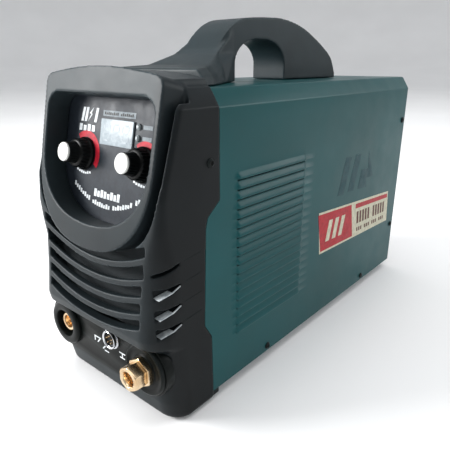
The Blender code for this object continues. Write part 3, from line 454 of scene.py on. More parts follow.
def flat_print(name, outlines, material, matrix, thick=0.00012, lift=0.00002, body="machine"):
    """Ink or film: flat outlines a little proud of the plane y = 0 of their own frame."""
    bm = bmesh.new()
    for outline in outlines:
        skin(bm, [[Vector((x, along, z)) for x, z in outline] for along in (-lift, -lift - thick)])
    return place(link_mesh(name, bm, matrix), material, body)


def smooth_path(points, steps):
    chain = [points[0], *points, points[-1]]
    path = []
    for i in range(1, len(chain) - 2):
        before, start, end, after = (Vector(chain[i + k]) for k in (-1, 0, 1, 2))
        for step in range(steps):
            t = step / steps
            path.append(0.5 * (2 * start + (end - before) * t
                               + (2 * before - 5 * start + 4 * end - after) * t ** 2
                               + (3 * start - before - 3 * end + after) * t ** 3))
    path.append(Vector(points[-1]))
    return [tuple(point) for point in path]


def read_table(table, key):
    """Linear reading of (key, value...) rows."""
    for row, after in zip(table, table[1:]):
        if key <= after[0]:
            t = max(0.0, (key - row[0]) / (after[0] - row[0]))
            return [a + (b - a) * t for a, b in zip(row[1:], after[1:])]
    return list(table[-1][1:])


def shield(shape, grow=0.0, steps=64):
    """Outline with upright sides, rounded top corners and a superellipse below."""
    half = shape["half"] + grow
    top = shape["top"] + grow
    corner = shape["corner"] + grow
    depth = shape["straight"] - shape["bottom"] + grow
    inner = half - corner
    points = []
    for i in range(9):
        angle = math.pi / 2 * i / 8
        points.append((inner + corner * math.cos(angle), top - corner + corner * math.sin(angle)))
    if shape["crown"]:
        for i in range(1, 24):
            x = inner * (1 - i / 12)
            points.append((x, top + shape["crown"] * (1 - (x / inner) ** 2)))
    for i in range(9):
        angle = math.pi / 2 * (1 + i / 8)
        points.append((-inner + corner * math.cos(angle), top - corner + corner * math.sin(angle)))
    for i in range(steps + 1):
        angle = math.pi * i / steps
        bend = 2 / shape["power"]
        x = math.copysign(abs(math.cos(angle)) ** bend, -math.cos(angle))
        points.append((half * x, shape["straight"] - depth * math.sin(angle) ** bend))
    return points


# ---- front moulding --------------------------------------------------------------------------


def plan_ring(z):
    front, run_x, run_y, half = read_table(BEZEL_LEVELS, z)
    points = [(half, BEZEL_REAR_Y)]
    for i in range(15):
        angle = math.pi / 2 * i / 14
        points.append((half - run_x + run_x * math.cos(angle), front + run_y - run_y * math.sin(angle)))
    return [Vector((x, y, z)) for x, y in points] + [Vector((-x, y, z)) for x, y in reversed(points)]


def bezel_shell(name):
    heights = sorted({level[0] for level in BEZEL_LEVELS} | {0.003 + 0.006 * i for i in range(43)})
    bm = bmesh.new()
    skin(bm, [plan_ring(z) for z in heights])
    return link_mesh(name, bm)


def bar_line(bar, x, offset):
    return bar[0] + bar[1] * (x / 0.055) ** 2 + offset


def slot_outline(upper, lower, end):
    xs = [end * (i / 16 - 1) for i in range(33)]
    floor = [(x, bar_line(lower, x, BAR_HEIGHT / 2)) for x in xs]
    return floor + [(x, bar_line(upper, x, -BAR_HEIGHT / 2)) for x in reversed(xs)]


def racetrack(radius, steps=32):
    points = []
    for side, start in ((1, -math.pi / 2), (-1, math.pi / 2)):
        for i in range(steps + 1):
            angle = start + math.pi * i / steps
            points.append((side * SOCKET[0] + radius * math.cos(angle), SOCKET[1] + radius * math.sin(angle)))
    return points


def gill(side, floor_front, floor_rear, mouth):
    """Wedge-shaped pocket behind the pillar: tall and deep in front, running out to a thin line."""
    front, rear = -0.2190, -0.2005
    slope = (floor_rear - floor_front) / (rear - front)
    bm = bmesh.new()
    rings = []
    for x_front, x_rear, lead in ((0.0665, 0.0750, 0.0), (0.0900, 0.0900, 0.0080)):
        start = floor_front - slope * lead
        rings.append([Vector((side * x, y, z)) for x, y, z in (
            (x_front, front - lead, start), (x_rear, rear, floor_rear),
            (x_rear, rear, floor_rear + 0.0022), (x_front, front - lead, start + mouth))])
    skin(bm, rings)
    return link_mesh("gill", bm)


def gill_floor(side, floor_front, floor_rear, number):
    """Painted highlight on a gill's floor, a pale strip for the light caught there: wide in front, then a thin line
    along its outer lip.
    """
    slope = (floor_rear - floor_front) / 0.0185
    bm = bmesh.new()
    for outline in (((0.0670, -0.2185), (0.0742, -0.2185), (0.0781, -0.2085), (0.0712, -0.2085)),
                    ((0.0770, -0.2088), (0.0781, -0.2088), (0.0783, -0.2008), (0.0773, -0.2008))):
        rings = [[Vector((side * x, y, floor_front + slope * (y + 0.2190) + lift)) for x, y in outline]
                 for lift in (-0.0002, 0.0003)]
        skin(bm, rings)
    return link_mesh("gill_floor_%s_%d" % ("right" if side > 0 else "left", number), bm)


def build_bezel():
    bezel = bezel_shell("front_moulding")
    section = [(-0.0754, 0.006), (0.0754, 0.006), (0.0754, 0.2445), (0.0667, 0.2575),
               (-0.0667, 0.2575), (-0.0754, 0.2445)]
    cut(bezel, prism("cavity", section, "Y", -0.1960, -0.10))
    cut(bezel, box("duct", (-0.0590, -0.2195, 0.0745), (0.0590, -0.1950, 0.1500)))
    cut(bezel, box("well", (-0.0655, -0.2070, 0.0100), (0.0655, -0.1950, 0.0720)))
    block = bezel_shell("block")
    combine(block, prism("limits", shield(GROOVE, 0.0026), "Y", -0.05, 0.0045, PANEL), "INTERSECT")
    join(bezel, block)
    cut(bezel, prism("groove", shield(GROOVE), "Y", -0.08, 0.0, PANEL))
    for upper, lower, end in zip((TOP_LINE, *BARS[:-1]), BARS, SLOT_ENDS):
        cut(bezel, prism("slot", slot_outline(upper, lower, end), "Y", -0.25, -0.2090))
    join(bezel, prism("hood", shield(HOOD), "Y", HOOD_FACE, 0.0020, PANEL))
    top = PANEL_ORIGIN.z + HOOD["top"] - 0.0007
    half = HOOD["half"] - 0.004
    arc = [(half * (1 - i / 12), top + HOOD["crown"] * (1 - (1 - i / 12) ** 2)) for i in range(25)]
    crown = [(half + 0.003, COVER_TOP_Z - 0.004), *arc, (-half - 0.003, COVER_TOP_Z - 0.004)]
    join(bezel, prism("crown", crown, "Y", -0.1900, BEZEL_REAR_Y))
    cut(bezel, prism("window", shield(WINDOW), "Y", -0.08, 0.03, PANEL))
    cut(bezel, prism("seat", shield(WINDOW, 0.0040), "Y", -0.0003, 0.03, PANEL))
    cut(bezel, prism("boss seat", racetrack(BOSS_RADIUS + 0.0003), "Y", -0.25, -0.2095))
    behind = [(y - 0.0003, z) for z, y in COVER_EDGE] + [(0.3, 0.3), (0.3, 0.0)]
    for side in (-1, 1):
        near, far = sorted((side * 0.0765, side * 0.09))
        cut(bezel, prism("edge", behind, "X", near, far))
        for shape in GILLS:
            cut(bezel, gill(side, *shape))
    mould(bezel, 0.00085, 4, 0.42)
    place(bezel, PLASTIC, stands_for=("front_bezel",), sharp=None)


# ---- handle ----------------------------------------------------------------------------------


def grip_opening():
    front, rear, spring, top = GRIP
    mid, half = (front + rear) / 2, (rear - front) / 2
    arc = []
    for i in range(33):
        angle = math.pi * i / 32
        x = math.copysign(abs(math.cos(angle)) ** 0.85, math.cos(angle))
        arc.append((mid + half * x, spring + (top - spring) * math.sin(angle) ** 0.85))
    return [(rear, 0.24), *arc, (front, 0.24)]


def build_handle():
    arch = smooth_path(HANDLE_ARCH, 8)
    base = 0.2603
    handle = prism("handle", [(-0.1220, base), *arch, (0.1223, base)], "X", -0.0200, 0.0200)
    rings = []
    for y, low, high, height in SADDLE:
        ledge = base + 0.55 * (height - base)
        middle = low + 0.35 * (high - low)
        rings.append([Vector((x, y, z)) for x, z in (
            (low, base), (middle, ledge), (high, height), (-high, height), (-middle, ledge), (-low, base))])
    bm = bmesh.new()
    skin(bm, rings)
    join(handle, link_mesh("saddle", bm))
    cut(handle, prism("opening", grip_opening(), "X", -0.08, 0.08))
    mould(handle, 0.0010, 10, 0.40)
    place(handle, HANDLE_PLASTIC, stands_for=("carry_handle",), sharp=None)


# ---- cover -----------------------------------------------------------------------------------


def section_path():
    """The folded sheet's outer line from the lower left edge to the lower right, with rounded bends."""
    corners = [(-SIDE_X, 0.0100), (-SIDE_X, 0.2465), (-0.0693, COVER_TOP_Z), (0.0693, COVER_TOP_Z),
               (SIDE_X, 0.2465), (SIDE_X, 0.0100)]
    pitch = (LOUVRE_Z[1] - LOUVRE_Z[0]) / LOUVRE_COUNT
    steps = [0.0, 0.0016, 0.00165, 0.0019, 0.0024, 0.0030, 0.0040, 0.0052, 0.0064, 0.0072]
    heights = [0.0100 + 0.0083 * i for i in range(5)]
    heights += [LOUVRE_Z[0] + pitch * i + t for i in range(LOUVRE_COUNT) for t in steps]
    heights += [LOUVRE_Z[1] + 0.0075 * i for i in range(6)]
    left = [(-SIDE_X, z) for z in heights]
    bends = []
    for i in (1, 2):
        before, corner, after = (Vector(corners[i + k]) for k in (-1, 0, 1))
        radius = 0.0035
        enter, leave = (before - corner).normalized(), (after - corner).normalized()
        reach = radius / math.tan(enter.angle(leave) / 2)
        start, end = corner + enter * reach, corner + leave * reach
        for k in range(6):
            t = k / 5
            bends.append(tuple((1 - t) ** 2 * start + 2 * t * (1 - t) * corner + t * t * end))
    top = [(-0.060 + 0.012 * i, COVER_TOP_Z) for i in range(11)]
    half = left + bends
    mirrored = [(-x, z) for x, z in reversed(half)]
    return half + top + mirrored


def louvre_height(y, z):
    """How far the pressed louvres stand out at a point of the side."""
    front, rear = LOUVRE_Y
    if not LOUVRE_Z[0] <= z <= LOUVRE_Z[1] or not front < y < rear:
        return 0.0
    pitch = (LOUVRE_Z[1] - LOUVRE_Z[0]) / LOUVRE_COUNT
    t = (z - LOUVRE_Z[0]) % pitch
    profile = ((0.0, 0.0), (0.0016, 0.0), (0.00163, 0.0020), (0.0024, 0.0022), (0.0030, 0.0021), (0.0052, 0.0012),
               (0.0070, 0.0002), (pitch, 0.0))
    end = min(y - front, rear - y) / 0.0035
    taper = 1.0 if end >= 1 else math.sin(end * math.pi / 2)
    return read_table(profile, t)[0] * taper


def build_cover():
    path = section_path()
    front, rear = LOUVRE_Y
    middle = [front + (rear - front) * i / 16 for i in range(1, 16)]
    ends = [0.0, 0.0008, 0.0016, 0.0025, 0.0036]
    fixed = [front + e for e in ends] + middle + [rear - e for e in reversed(ends)]
    fixed += [rear + (COVER_REAR_Y - rear) * i / 14 for i in range(1, 15)]
    pitch = (LOUVRE_Z[1] - LOUVRE_Z[0]) / LOUVRE_COUNT
    bm = bmesh.new()
    rows = []
    for x, z in path:
        edge = read_table(COVER_EDGE, z)[0]
        ys = [edge + (front - edge) * i / 6 for i in range(6)] + fixed
        upright = abs(abs(x) - SIDE_X) < 1e-6
        side = math.copysign(1.0, x)
        rows.append([bm.verts.new((x + (side * louvre_height(y, z) if upright else 0.0), y, z)) for y in ys])
    for row, after in zip(rows, rows[1:]):
        low, high = sorted((row[0].co.z, after[0].co.z))
        t = (low - LOUVRE_Z[0]) / pitch
        in_bank = LOUVRE_Z[0] - 1e-6 <= low < LOUVRE_Z[1] - 1e-4 and abs(abs(row[0].co.x) - SIDE_X) < 1e-6
        is_slot = in_bank and abs(t - round(t)) < 0.02 and high - low < 0.0017
        for i in range(len(row) - 1):
            y0, y1 = row[i].co.y, row[i + 1].co.y
            if is_slot and y0 >= front + 0.0015 and y1 <= rear - 0.0015:
                continue
            bm.faces.new((row[i], row[i + 1], after[i + 1], after[i]))
    cover = link_mesh("cover_sheet", bm)
    thick = cover.modifiers.new("Sheet", "SOLIDIFY")
    thick.thickness = SHEET
    thick.offset = -1.0
    settle(cover)
    place(cover, TEAL, stands_for=("cover",), sharp=50.0)


# ---- control panel ---------------------------------------------------------------------------


def rectangle(x0, z0, x1, z1, slant=0.0):
    return [(x0, z0), (x1, z0), (x1 + slant, z1), (x0 + slant, z1)]


def arc_band(centre, radius, width, start, end, steps=28):
    points = []
    for r, order in ((radius, 1), (radius - width, -1)):
        for i in range(steps + 1)[::order]:
            angle = math.radians(start + (end - start) * i / steps)
            points.append((centre[0] + r * math.cos(angle), centre[1] + r * math.sin(angle)))
    return points


def tick_row(start, end, count, height, sag=0.0, gap=0.35):
    """A row of short upright bars along a shallow curve."""
    step = (end - start) / count
    middle, half = (start + end) / 2, (end - start) / 2
    bars = []
    for i in range(count):
        if i % 9 == 8:
            continue
        x = start + step * i
        z = sag * ((x - middle) / half) ** 2
        tall = height * (1.0, 0.8, 1.0, 0.9, 0.7)[i % 5]
        bars.append([(bx, bz + z) for bx, bz in rectangle(x, 0.0, x + step * (1 - gap), tall)])
    return bars


def shifted(outlines, dx, dz):
    return [[(x + dx, z + dz) for x, z in outline] for outline in outlines]


def build_prints():
    flat_print("dial_arc_left", [arc_band((-KNOB_X, 0.0), 0.0190, 0.0052, 128, -32)], RED_INK, PANEL)
    flat_print("dial_arc_right", [arc_band((KNOB_X, 0.0), 0.0172, 0.0042, 128, 62)], RED_INK, PANEL)
    bolt = [(0.0, 0.0), (0.0056, 0.0062), (0.0032, 0.0062), (0.0072, 0.0122), (0.0018, 0.0070), (0.0044, 0.0070)]
    stripes = [rectangle(x, 0.0, x + 0.0032, 0.0115, 0.0022) for x in (-0.0095, -0.0047, 0.0085)]
    flat_print("maker_mark", shifted([bolt, *stripes], -0.0375, 0.0262), WHITE_INK, PANEL)
    flat_print("mode_marks", shifted(tick_row(-0.0115, 0.0115, 4, 0.0056, gap=0.30), -0.0370, 0.0186), WHITE_INK,
               PANEL)
    left = DISPLAY_X - 0.0200
    flat_print("meter_label", [rectangle(left, 0.0322, left + 0.0400, 0.0366)], GREY_INK, PANEL)
    flat_print("meter_label_marks", shifted(tick_row(0.002, 0.038, 16, 0.0022), left, 0.0333), DEEP_BLACK, PANEL,
               lift=0.00015)
    for label, x in (("current", -KNOB_X), ("gas", KNOB_X)):
        row = tick_row(-0.0100, 0.0100, 7, 0.0022, 0.0020, gap=0.25)
        flat_print(label + "_dial_name", shifted(row, x, -0.0166), WHITE_INK, PANEL)
    flat_print("rating_row", shifted(tick_row(-0.0200, 0.0140, 8, 0.0062, gap=0.25), 0.0, -0.0325), WHITE_INK, PANEL)
    row = tick_row(-0.0480, 0.0380, 29, 0.0038, 0.0128, gap=0.25)
    flat_print("class_row", shifted(row, 0.0, -0.0405), WHITE_INK, PANEL)
    lamps = [rectangle(0.0320, z - 0.0014, 0.0420, z + 0.0016) for z in (0.0185, 0.0268)]
    flat_print("lamp_labels", lamps, GREY_INK, PANEL)


def seven_segments(digit_x, height, width, stroke):
    """All seven bars of one slanted digit."""
    z0, zm, z1 = -height / 2, 0.0, height / 2
    lean = 0.10
    bars = [rectangle(digit_x + stroke, z, digit_x + width - stroke, z + stroke * 0.9) for z in
            (z0, zm - stroke / 2, z1 - stroke)]
    for x in (digit_x, digit_x + width - stroke * 0.9):
        bars += [rectangle(x, z0 + stroke, x + stroke * 0.9, zm - stroke * 0.6),
                 rectangle(x, zm + stroke * 0.6, x + stroke * 0.9, z1 - stroke)]
    return [[(x + lean * z, z) for x, z in bar] for bar in bars]


def build_display():
    low, high = -0.0101, 0.0101
    bm = bmesh.new()
    skin(bm, [[Vector((DISPLAY_X + x * k, y, 0.0200 + z * k)) for x, z in ((-0.0200, low), (0.0200, low), (0.0200, high),
                                                               (-0.0200, high))]
              for k, y in ((1.0, -0.0003), (1.0, -0.0012), (0.985, -0.0016))])
    window = link_mesh("display_face", bm, PANEL)
    soften(window, 0.0003, 2)
    place(window, DISPLAY, stands_for=("display_window",))
    digits = [bar for x in (-0.0160, -0.0045, 0.0070) for bar in seven_segments(x, 0.0140, 0.0085, 0.0016)]
    flat_print("display_segments", shifted(digits, DISPLAY_X, 0.0200), SEGMENT,
               PANEL @ Matrix.Translation((0.0, -0.0016, 0.0)), thick=0.00005)


def build_knob(label, x, body):
    matrix = PANEL @ Matrix.Translation((x, 0.0, 0.0))
    profile = ((0.0060, -0.0006), (0.0130, -0.0006), (0.0135, -0.0010), (0.0135, -0.0022), (0.0131, -0.0028),
               (0.0125, -0.0032), (0.0122, -0.0036), (0.0121, -0.0042), (0.0118, -0.0088), (0.0116, -0.0096),
               (0.0110, -0.0103), (0.0100, -0.0108), (0.0090, -0.0111), (0.0087, -0.0118), (0.0085, -0.0130),
               (0.0080, -0.0182), (0.0078, -0.0189), (0.0075, -0.0192), (0.0050, -0.0193))
    bm = bmesh.new()
    steps = 144
    rings = []
    for radius, y in profile:
        flute = 0.0008 if -0.0098 < y < -0.0038 else 0.0004 if -0.0184 < y < -0.0120 else 0.0
        ring = []
        for i in range(steps):
            a = 2 * math.pi * i / steps
            r = radius - flute * (0.5 + 0.5 * math.cos(24 * a)) ** 2
            ring.append(Vector((r * math.cos(a), y, r * math.sin(a))))
        rings.append(ring)
    skin(bm, rings)
    place(link_mesh(label + "_knob_grip", bm, matrix), DEEP_BLACK, body, (label + "_knob",), 50.0)
    cap = ((0.0050, -0.0195), (0.0072, -0.0195), (0.0074, -0.0199), (0.0074, -0.0208), (0.0070, -0.0213),
           (0.0060, -0.0215), (0.0010, -0.0215))
    place(lathe(label + "_knob_face", cap, "Y", (0.0, 0.0), 64, matrix), PALE, body,
          (label + "_knob_cap",))
    flat_print(label + "_knob_pointer", [rectangle(-0.0005, 0.0030, 0.0005, 0.0062)], DEEP_BLACK,
               matrix @ Matrix.Translation((0.0, -0.0214, 0.0)), thick=0.00008, body=body)


# ---- connectors ------------------------------------------------------------------------------


def hexagon(across_flats, centre):
    return circle(across_flats / math.sqrt(3), 6, centre, math.pi / 6)


def build_connectors():
    face = BOSS_FACE_Y
    boss = prism("connector_boss", racetrack(BOSS_RADIUS), "Y", face, -0.2098)
    for x, z, radius in ((-SOCKET[0], SOCKET[1], 0.0153), (SOCKET[0], SOCKET[1], 0.0128), (*CONTROL, 0.0078)):
        cut(boss, prism("hole", circle(radius, 64, (x, z)), "Y", -0.23, -0.19))
    soften(boss, 0.0012, 3)
    place(boss, BLACK, stands_for=("connector_panel",))

    left = (-SOCKET[0], SOCKET[1])
    ring = ((0.0090, -0.1885), (0.0090, -0.2092), (0.0093, -0.2095), (0.0121, -0.2095), (0.0125, -0.2099),
            (0.0125, face - 0.0026), (0.0130, face - 0.0037), (0.0142, face - 0.0042), (0.0176, face - 0.0041),
            (0.0194, face - 0.0035), (0.0203, face - 0.0024), (0.0205, face - 0.0012), (0.0205, face - 0.0003),
            (0.0150, face - 0.0003), (0.0150, -0.1850), (0.0093, -0.1850))
    bm = bmesh.new()
    skin(bm, [[on_axis("Y", pair, along) for pair in circle(radius, 72, left)] for radius, along in ring], False)
    bmesh.ops.bridge_loops(bm, edges=[e for e in bm.edges if e.is_boundary])
    place(link_mesh("weld_socket_ring", bm), BLACK, stands_for=("weld_socket_body",))
    sleeve = ((0.0058, -0.1960), (0.0058, -0.2174), (0.0062, -0.2182), (0.0070, -0.2185), (0.0079, -0.2185),
              (0.0085, -0.2182), (0.0087, -0.2176), (0.0087, -0.1884), (0.0060, -0.1884))
    bm = bmesh.new()
    skin(bm, [[on_axis("Y", pair, along) for pair in circle(radius, 64, left)] for radius, along in sleeve], False)
    bmesh.ops.bridge_loops(bm, edges=[e for e in bm.edges if e.is_boundary])
    place(link_mesh("weld_socket_sleeve", bm), BRASS, stands_for=("weld_socket_insert",))

    right = (SOCKET[0], SOCKET[1])
    base = ((0.0090, -0.1850), (0.0125, -0.1850), (0.0125, face - 0.0003), (0.0220, face - 0.0003),
            (0.0220, face - 0.0018), (0.0215, face - 0.0028), (0.0205, face - 0.0034), (0.0190, face - 0.0032),
            (0.0180, face - 0.0024), (0.0160, face - 0.0022), (0.0135, face - 0.0026), (0.0128, face - 0.0034),
            (0.0080, face - 0.0034))
    place(lathe("torch_base_ring", base, "Y", right, 72), BLACK,
          stands_for=("torch_socket_base",))
    nut_back, nut_front, tip = face - 0.0037, face - 0.0078, -0.2365
    nut = prism("torch_nut", hexagon(0.0220, right), "Y", nut_back, nut_front)
    cone = lathe("cone", ((0.0118, nut_back + 0.001), (0.0128, nut_back - 0.0006), (0.0128, nut_front + 0.0008),
                          (0.0112, nut_front - 0.0010)), "Y", right, 64)
    combine(nut, cone, "INTERSECT")
    soften(nut, 0.0003, 2)
    place(nut, BRASS, stands_for=("torch_socket_nut",))
    stem = prism("torch_stem", hexagon(0.0186, right), "Y", nut_front - 0.0003, tip)
    cone = lathe("cone", ((0.0110, nut_front + 0.001), (0.0110, tip + 0.0020), (0.0096, tip - 0.0004)), "Y", right, 64)
    combine(stem, cone, "INTERSECT")
    cut(stem, lathe("bore", ((0.0060, -0.2240), (0.0060, tip + 0.0012), (0.0071, tip - 0.0006)), "Y", right, 48))
    soften(stem, 0.0003, 2)
    place(stem, BRASS, stands_for=("torch_socket_body",))

    shell = ((0.0064, -0.1980), (0.0064, face - 0.0040), (0.0070, face - 0.0046), (0.0076, face - 0.0048),
             (0.0080, face - 0.0045), (0.0080, face - 0.0018), (0.0090, face - 0.0016), (0.0092, face - 0.0012),
             (0.0092, face - 0.0003), (0.0073, face - 0.0003), (0.0073, -0.1950), (0.0066, -0.1950))
    bm = bmesh.new()
    skin(bm, [[on_axis("Y", pair, along) for pair in circle(radius, 64, CONTROL)] for radius, along in shell], False)
    bmesh.ops.bridge_loops(bm, edges=[e for e in bm.edges if e.is_boundary])
    place(link_mesh("control_socket_ring", bm), CHROME, stands_for=("control_socket_shell",))
    pins = bmesh.new()
    for i in range(5):
        a = 2 * math.pi * i / 5 + math.pi / 2
        centre = (CONTROL[0] + 0.0034 * math.cos(a), CONTROL[1] + 0.0034 * math.sin(a))
        lathe("", ((0.0006, face - 0.0020), (0.0006, face - 0.0038), (0.0003, face - 0.0042)), "Y", centre, 16,
              bm=pins)
    place(link_mesh("control_socket_pins", pins), BRASS)


def build_boss_prints():
    """Small line symbols beside the sockets: an arc symbol and a switch symbol."""
    frame_matrix = Matrix.Translation((0.0, BOSS_FACE_Y, 0.0))
    torch = [rectangle(-0.0135, 0.0525, -0.0040, 0.0537), rectangle(-0.0135, 0.0485, -0.0123, 0.0525),
             [(-0.0100, 0.0480), (-0.0086, 0.0480), (-0.0048, 0.0523), (-0.0064, 0.0523)],
             [(-0.0030, 0.0445), (-0.0014, 0.0445), (0.0020, 0.0480), (0.0004, 0.0480)],
             rectangle(0.0000, 0.0432, 0.0058, 0.0443)]
    switch = [rectangle(0.0205, 0.0505, 0.0285, 0.0515), rectangle(0.0240, 0.0470, 0.0251, 0.0505),
              rectangle(0.0212, 0.0460, 0.0276, 0.0470)]
    flat_print("torch_symbol", torch, WHITE_INK, frame_matrix)
    flat_print("switch_symbol", switch, WHITE_INK, frame_matrix)


# ---- side prints -----------------------------------------------------------------------------


def side_frames():
    """Print frames on the right and left faces of the cover: x runs rearwards on the right face."""
    right = Matrix.Translation((SIDE_X, 0.0, 0.0)) @ Matrix.Rotation(math.radians(90), 4, "Z")
    left = Matrix.Translation((-SIDE_X, 0.0, 0.0)) @ Matrix.Rotation(math.radians(-90), 4, "Z")
    return (("right", right, 1.0), ("left", left, -1.0))


def between(corners, u, v):
    """A point inside a four-cornered field, from its shares across and up."""
    (x0, z0), (x1, z1), (x2, z2), (x3, z3) = corners
    low = (x0 + (x1 - x0) * u, z0 + (z1 - z0) * u)
    high = (x3 + (x2 - x3) * u, z3 + (z2 - z3) * u)
    return (low[0] + (high[0] - low[0]) * v, low[1] + (high[1] - low[1]) * v)


def build_side_prints():
    for label, matrix, sense in side_frames():
        centre = 0.0925
        corners = [(0.0058, 0.0818), (0.1896, 0.0741), (0.1843, 0.1161), (-0.0005, 0.1297)]
        if sense < 0:
            corners = [(2 * centre - x, z) for x, z in corners]
            corners = [(-x, z) for x, z in corners]
            corners = [corners[1], corners[0], corners[3], corners[2]]

        def patch(u0, v0, u1, v1, lean=0.0):
            return [between(corners, u, v) for u, v in ((u0, v0), (u1, v0), (u1 + lean, v1), (u0 + lean, v1))]

        flat_print(f"decal_field_{label}", [patch(0.0, 0.0, 1.0, 1.0)], DECAL_CREAM, matrix, 0.00010)
        flat_print(f"decal_red_{label}", [patch(0.012, 0.05, 0.43, 0.95, -0.02)], DECAL_RED, matrix, 0.00010, 0.00012)
        flat_print(f"decal_edge_{label}", [patch(0.47, 0.80, 0.985, 0.93)], DECAL_RED, matrix, 0.00010, 0.00012)
        chevrons = [patch(u, 0.25, u + 0.045, 0.75, 0.05) for u in (0.07, 0.15, 0.23)]
        flat_print(f"decal_mark_{label}", chevrons, DECAL_CREAM, matrix, 0.00010, 0.00022)
        bars = [patch(0.49 + 0.042 * i, 0.36, 0.49 + 0.042 * i + 0.026, 0.70) for i in range(11) if i != 5]
        flat_print(f"decal_bars_{label}", bars, DECAL_BROWN, matrix, 0.00010, 0.00012)
        bars = [patch(0.49 + 0.030 * i, 0.13, 0.49 + 0.030 * i + 0.018, 0.24) for i in range(15) if i % 4 != 3]
        flat_print(f"decal_small_{label}", bars, DECAL_BROWN, matrix, 0.00010, 0.00012)
        ghost = [[(x, z) for x, z in ((a, 0.1400), (a + 0.014, 0.1385), (a + 0.028, 0.1790), (a + 0.014, 0.1800))]
                 for a in (0.038, 0.062)]
        ghost.append([(0.088, 0.1380), (0.112, 0.1360), (0.108, 0.1480), (0.128, 0.1470), (0.110, 0.1790),
                      (0.112, 0.1590), (0.094, 0.1600)])
        if sense < 0:
            ghost = [[(-x, z) for x, z in outline] for outline in ghost]
        flat_print(f"ghost_mark_{label}", ghost, GHOST_INK, matrix, 0.00008)


# ---- carried CAD nodes -----------------------------------------------------------------------


def dress_nodes():
    """Better finishes, and rounded edges, on the CAD nodes that stay."""
    finishes = {
        "control_panel": PANEL_FILM, "display_module": BLACK, "power_lamp": LAMP_GLASS, "fault_lamp": LAMP_GLASS,
        "control_board": board_material(), "control_socket_insert": DEEP_BLACK, "chassis_tray": ZINC,
        "rear_panel": REAR_PLASTIC, "fan_frame": BLACK, "fan_rotor": DEEP_BLACK, "fan_guard": ZINC,
        "power_switch_frame": BLACK, "power_switch_rocker": RUBBER, "cable_gland": BLACK, "gas_inlet": BRASS,
        "earth_stud": ZINC, "transformer_core": FERRITE, "choke_core": FERRITE,
        "gas_valve": BRASS, "dust_filter": FOAM,
    }
    finishes["main_board"] = finishes["control_board"]
    copper = copper_material()
    finishes["transformer_winding"] = finishes["choke_winding"] = copper
    groups = {"heatsink": ALUMINIUM, "bus_capacitor": SLEEVE, "foot": RUBBER, "screw": BLACK}
    metals = {"current_shaft", "gas_shaft", "current_potentiometer", "gas_potentiometer"}
    rounded = {"rear_panel": 0.0006, "power_switch_frame": 0.0007, "power_switch_rocker": 0.0006, "fan_guard": 0.0005,
               "cable_gland": 0.0004, "gas_inlet": 0.0003, "earth_stud": 0.0003, "chassis_tray": 0.0004,
               "fan_frame": 0.0006}
    for name, node in nodes.items():
        finish = finishes.get(name)
        for prefix, material in groups.items():
            if name.startswith(prefix):
                finish = material
        if name in metals:
            finish = ALUMINIUM
        if finish is None:
            continue
        for slot in node.material_slots:
            slot.material = finish
        if name in rounded:
            bevel = node.modifiers.new("Edges", "BEVEL")
            bevel.width = rounded[name]
            bevel.segments = 2
            bevel.limit_method = "ANGLE"
            bevel.angle_limit = math.radians(40)


# ---- studio ----------------------------------------------------------------------------------


def build_gill_floors():
    for side in (1, -1):
        for number, (floor_front, floor_rear, mouth) in enumerate(GILLS, 1):
            # pale painted highlights on the gill floors
            if mouth > 0.005:
                place(gill_floor(side, floor_front, floor_rear, number), GILL_PAINTED_HIGHLIGHT)
            y0, y1, z = -0.1962, -0.1785, floor_rear + 0.0012
            bm = bmesh.new()
            skin(bm, [[Vector((side * x, y, height)) for y, height in
                       ((y0, z), (y1, z + 0.0020), (y1, z + 0.0026), (y0, z + 0.0007))] for x in (0.0780, 0.0786)])
            place(link_mesh("cheek_line_%s_%d" % ("right" if side > 0 else "left", number), bm), BLACK)
    place(box("filter_top", (-0.0587, -0.2100, 0.1358), (0.0587, -0.2080, 0.1498)), FOAM)


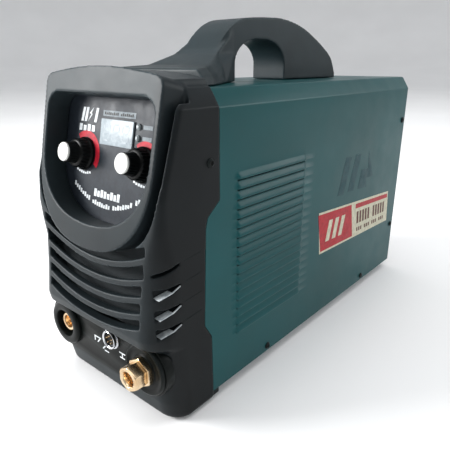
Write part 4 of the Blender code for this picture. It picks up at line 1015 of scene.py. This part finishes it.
def build_floor():
    bm = bmesh.new()
    skin(bm, [[Vector((r * math.cos(a), r * math.sin(a), z)) for a in
               [2 * math.pi * i / 96 for i in range(96)]]
              for r, z in ((0.02, -0.0002), (6.0, -0.0002), (7.5, 0.25), (8.6, 1.1), (9.0, 3.0), (9.0, 6.0))], False)
    bm.faces.new([v for v in bm.verts if abs(v.co.x ** 2 + v.co.y ** 2 - 0.0004) < 1e-6])
    floor = link_mesh("studio_floor", bm)
    floor.data.materials.append(floor_material())
    floor.data.shade_smooth()


def area_light(name, location, target, size, power, tint=(1.0, 1.0, 1.0)):
    light = bpy.data.lights.new(name, "AREA")
    light.shape = "RECTANGLE"
    light.size, light.size_y = size
    light.energy = power
    light.color = tint
    obj = bpy.data.objects.new(name, light)
    obj.location = location
    direction = Vector(target) - Vector(location)
    obj.rotation_euler = direction.to_track_quat("-Z", "Y").to_euler()
    bpy.context.scene.collection.objects.link(obj)


def build_studio():
    build_floor()
    world = bpy.data.worlds.new("studio_world")
    world.use_nodes = True
    background = world.node_tree.nodes["Background"]
    background.inputs["Color"].default_value = (0.95, 0.97, 1.0, 1.0)
    background.inputs["Strength"].default_value = 0.55
    bpy.context.scene.world = world
    area_light("key", (-1.15, -1.25, 0.75), (0.0, -0.15, 0.18), (0.7, 0.7), 44.0)
    area_light("overhead", (-0.2, 0.2, 4.2), (0.0, 0.0, 0.0), (4.0, 4.0), 110.0)
    area_light("rear_side", (1.5, 1.9, 1.1), (0.05, 0.15, 0.15), (1.2, 1.0), 14.0, (0.96, 0.99, 1.0))
    camera = bpy.data.cameras.new("camera")
    camera.lens = 37.33
    camera.sensor_width = 36.0
    camera.clip_start, camera.clip_end = 0.02, 60.0
    obj = bpy.data.objects.new("camera", camera)
    obj.location = (0.3004, -0.4136, 0.2760)
    obj.rotation_euler = (math.radians(90 - 19.09), 0.0, math.radians(40.23))
    bpy.context.scene.collection.objects.link(obj)
    bpy.context.scene.camera = obj
    bpy.context.scene.view_settings.view_transform = "Standard"


build_bezel()
build_handle()
build_cover()
build_display()
build_prints()
build_knob("current", -KNOB_X, "current_dial")
build_knob("gas", KNOB_X, "gas_dial")
build_connectors()
build_boss_prints()
build_side_prints()
build_gill_floors()
dress_nodes()
build_studio()
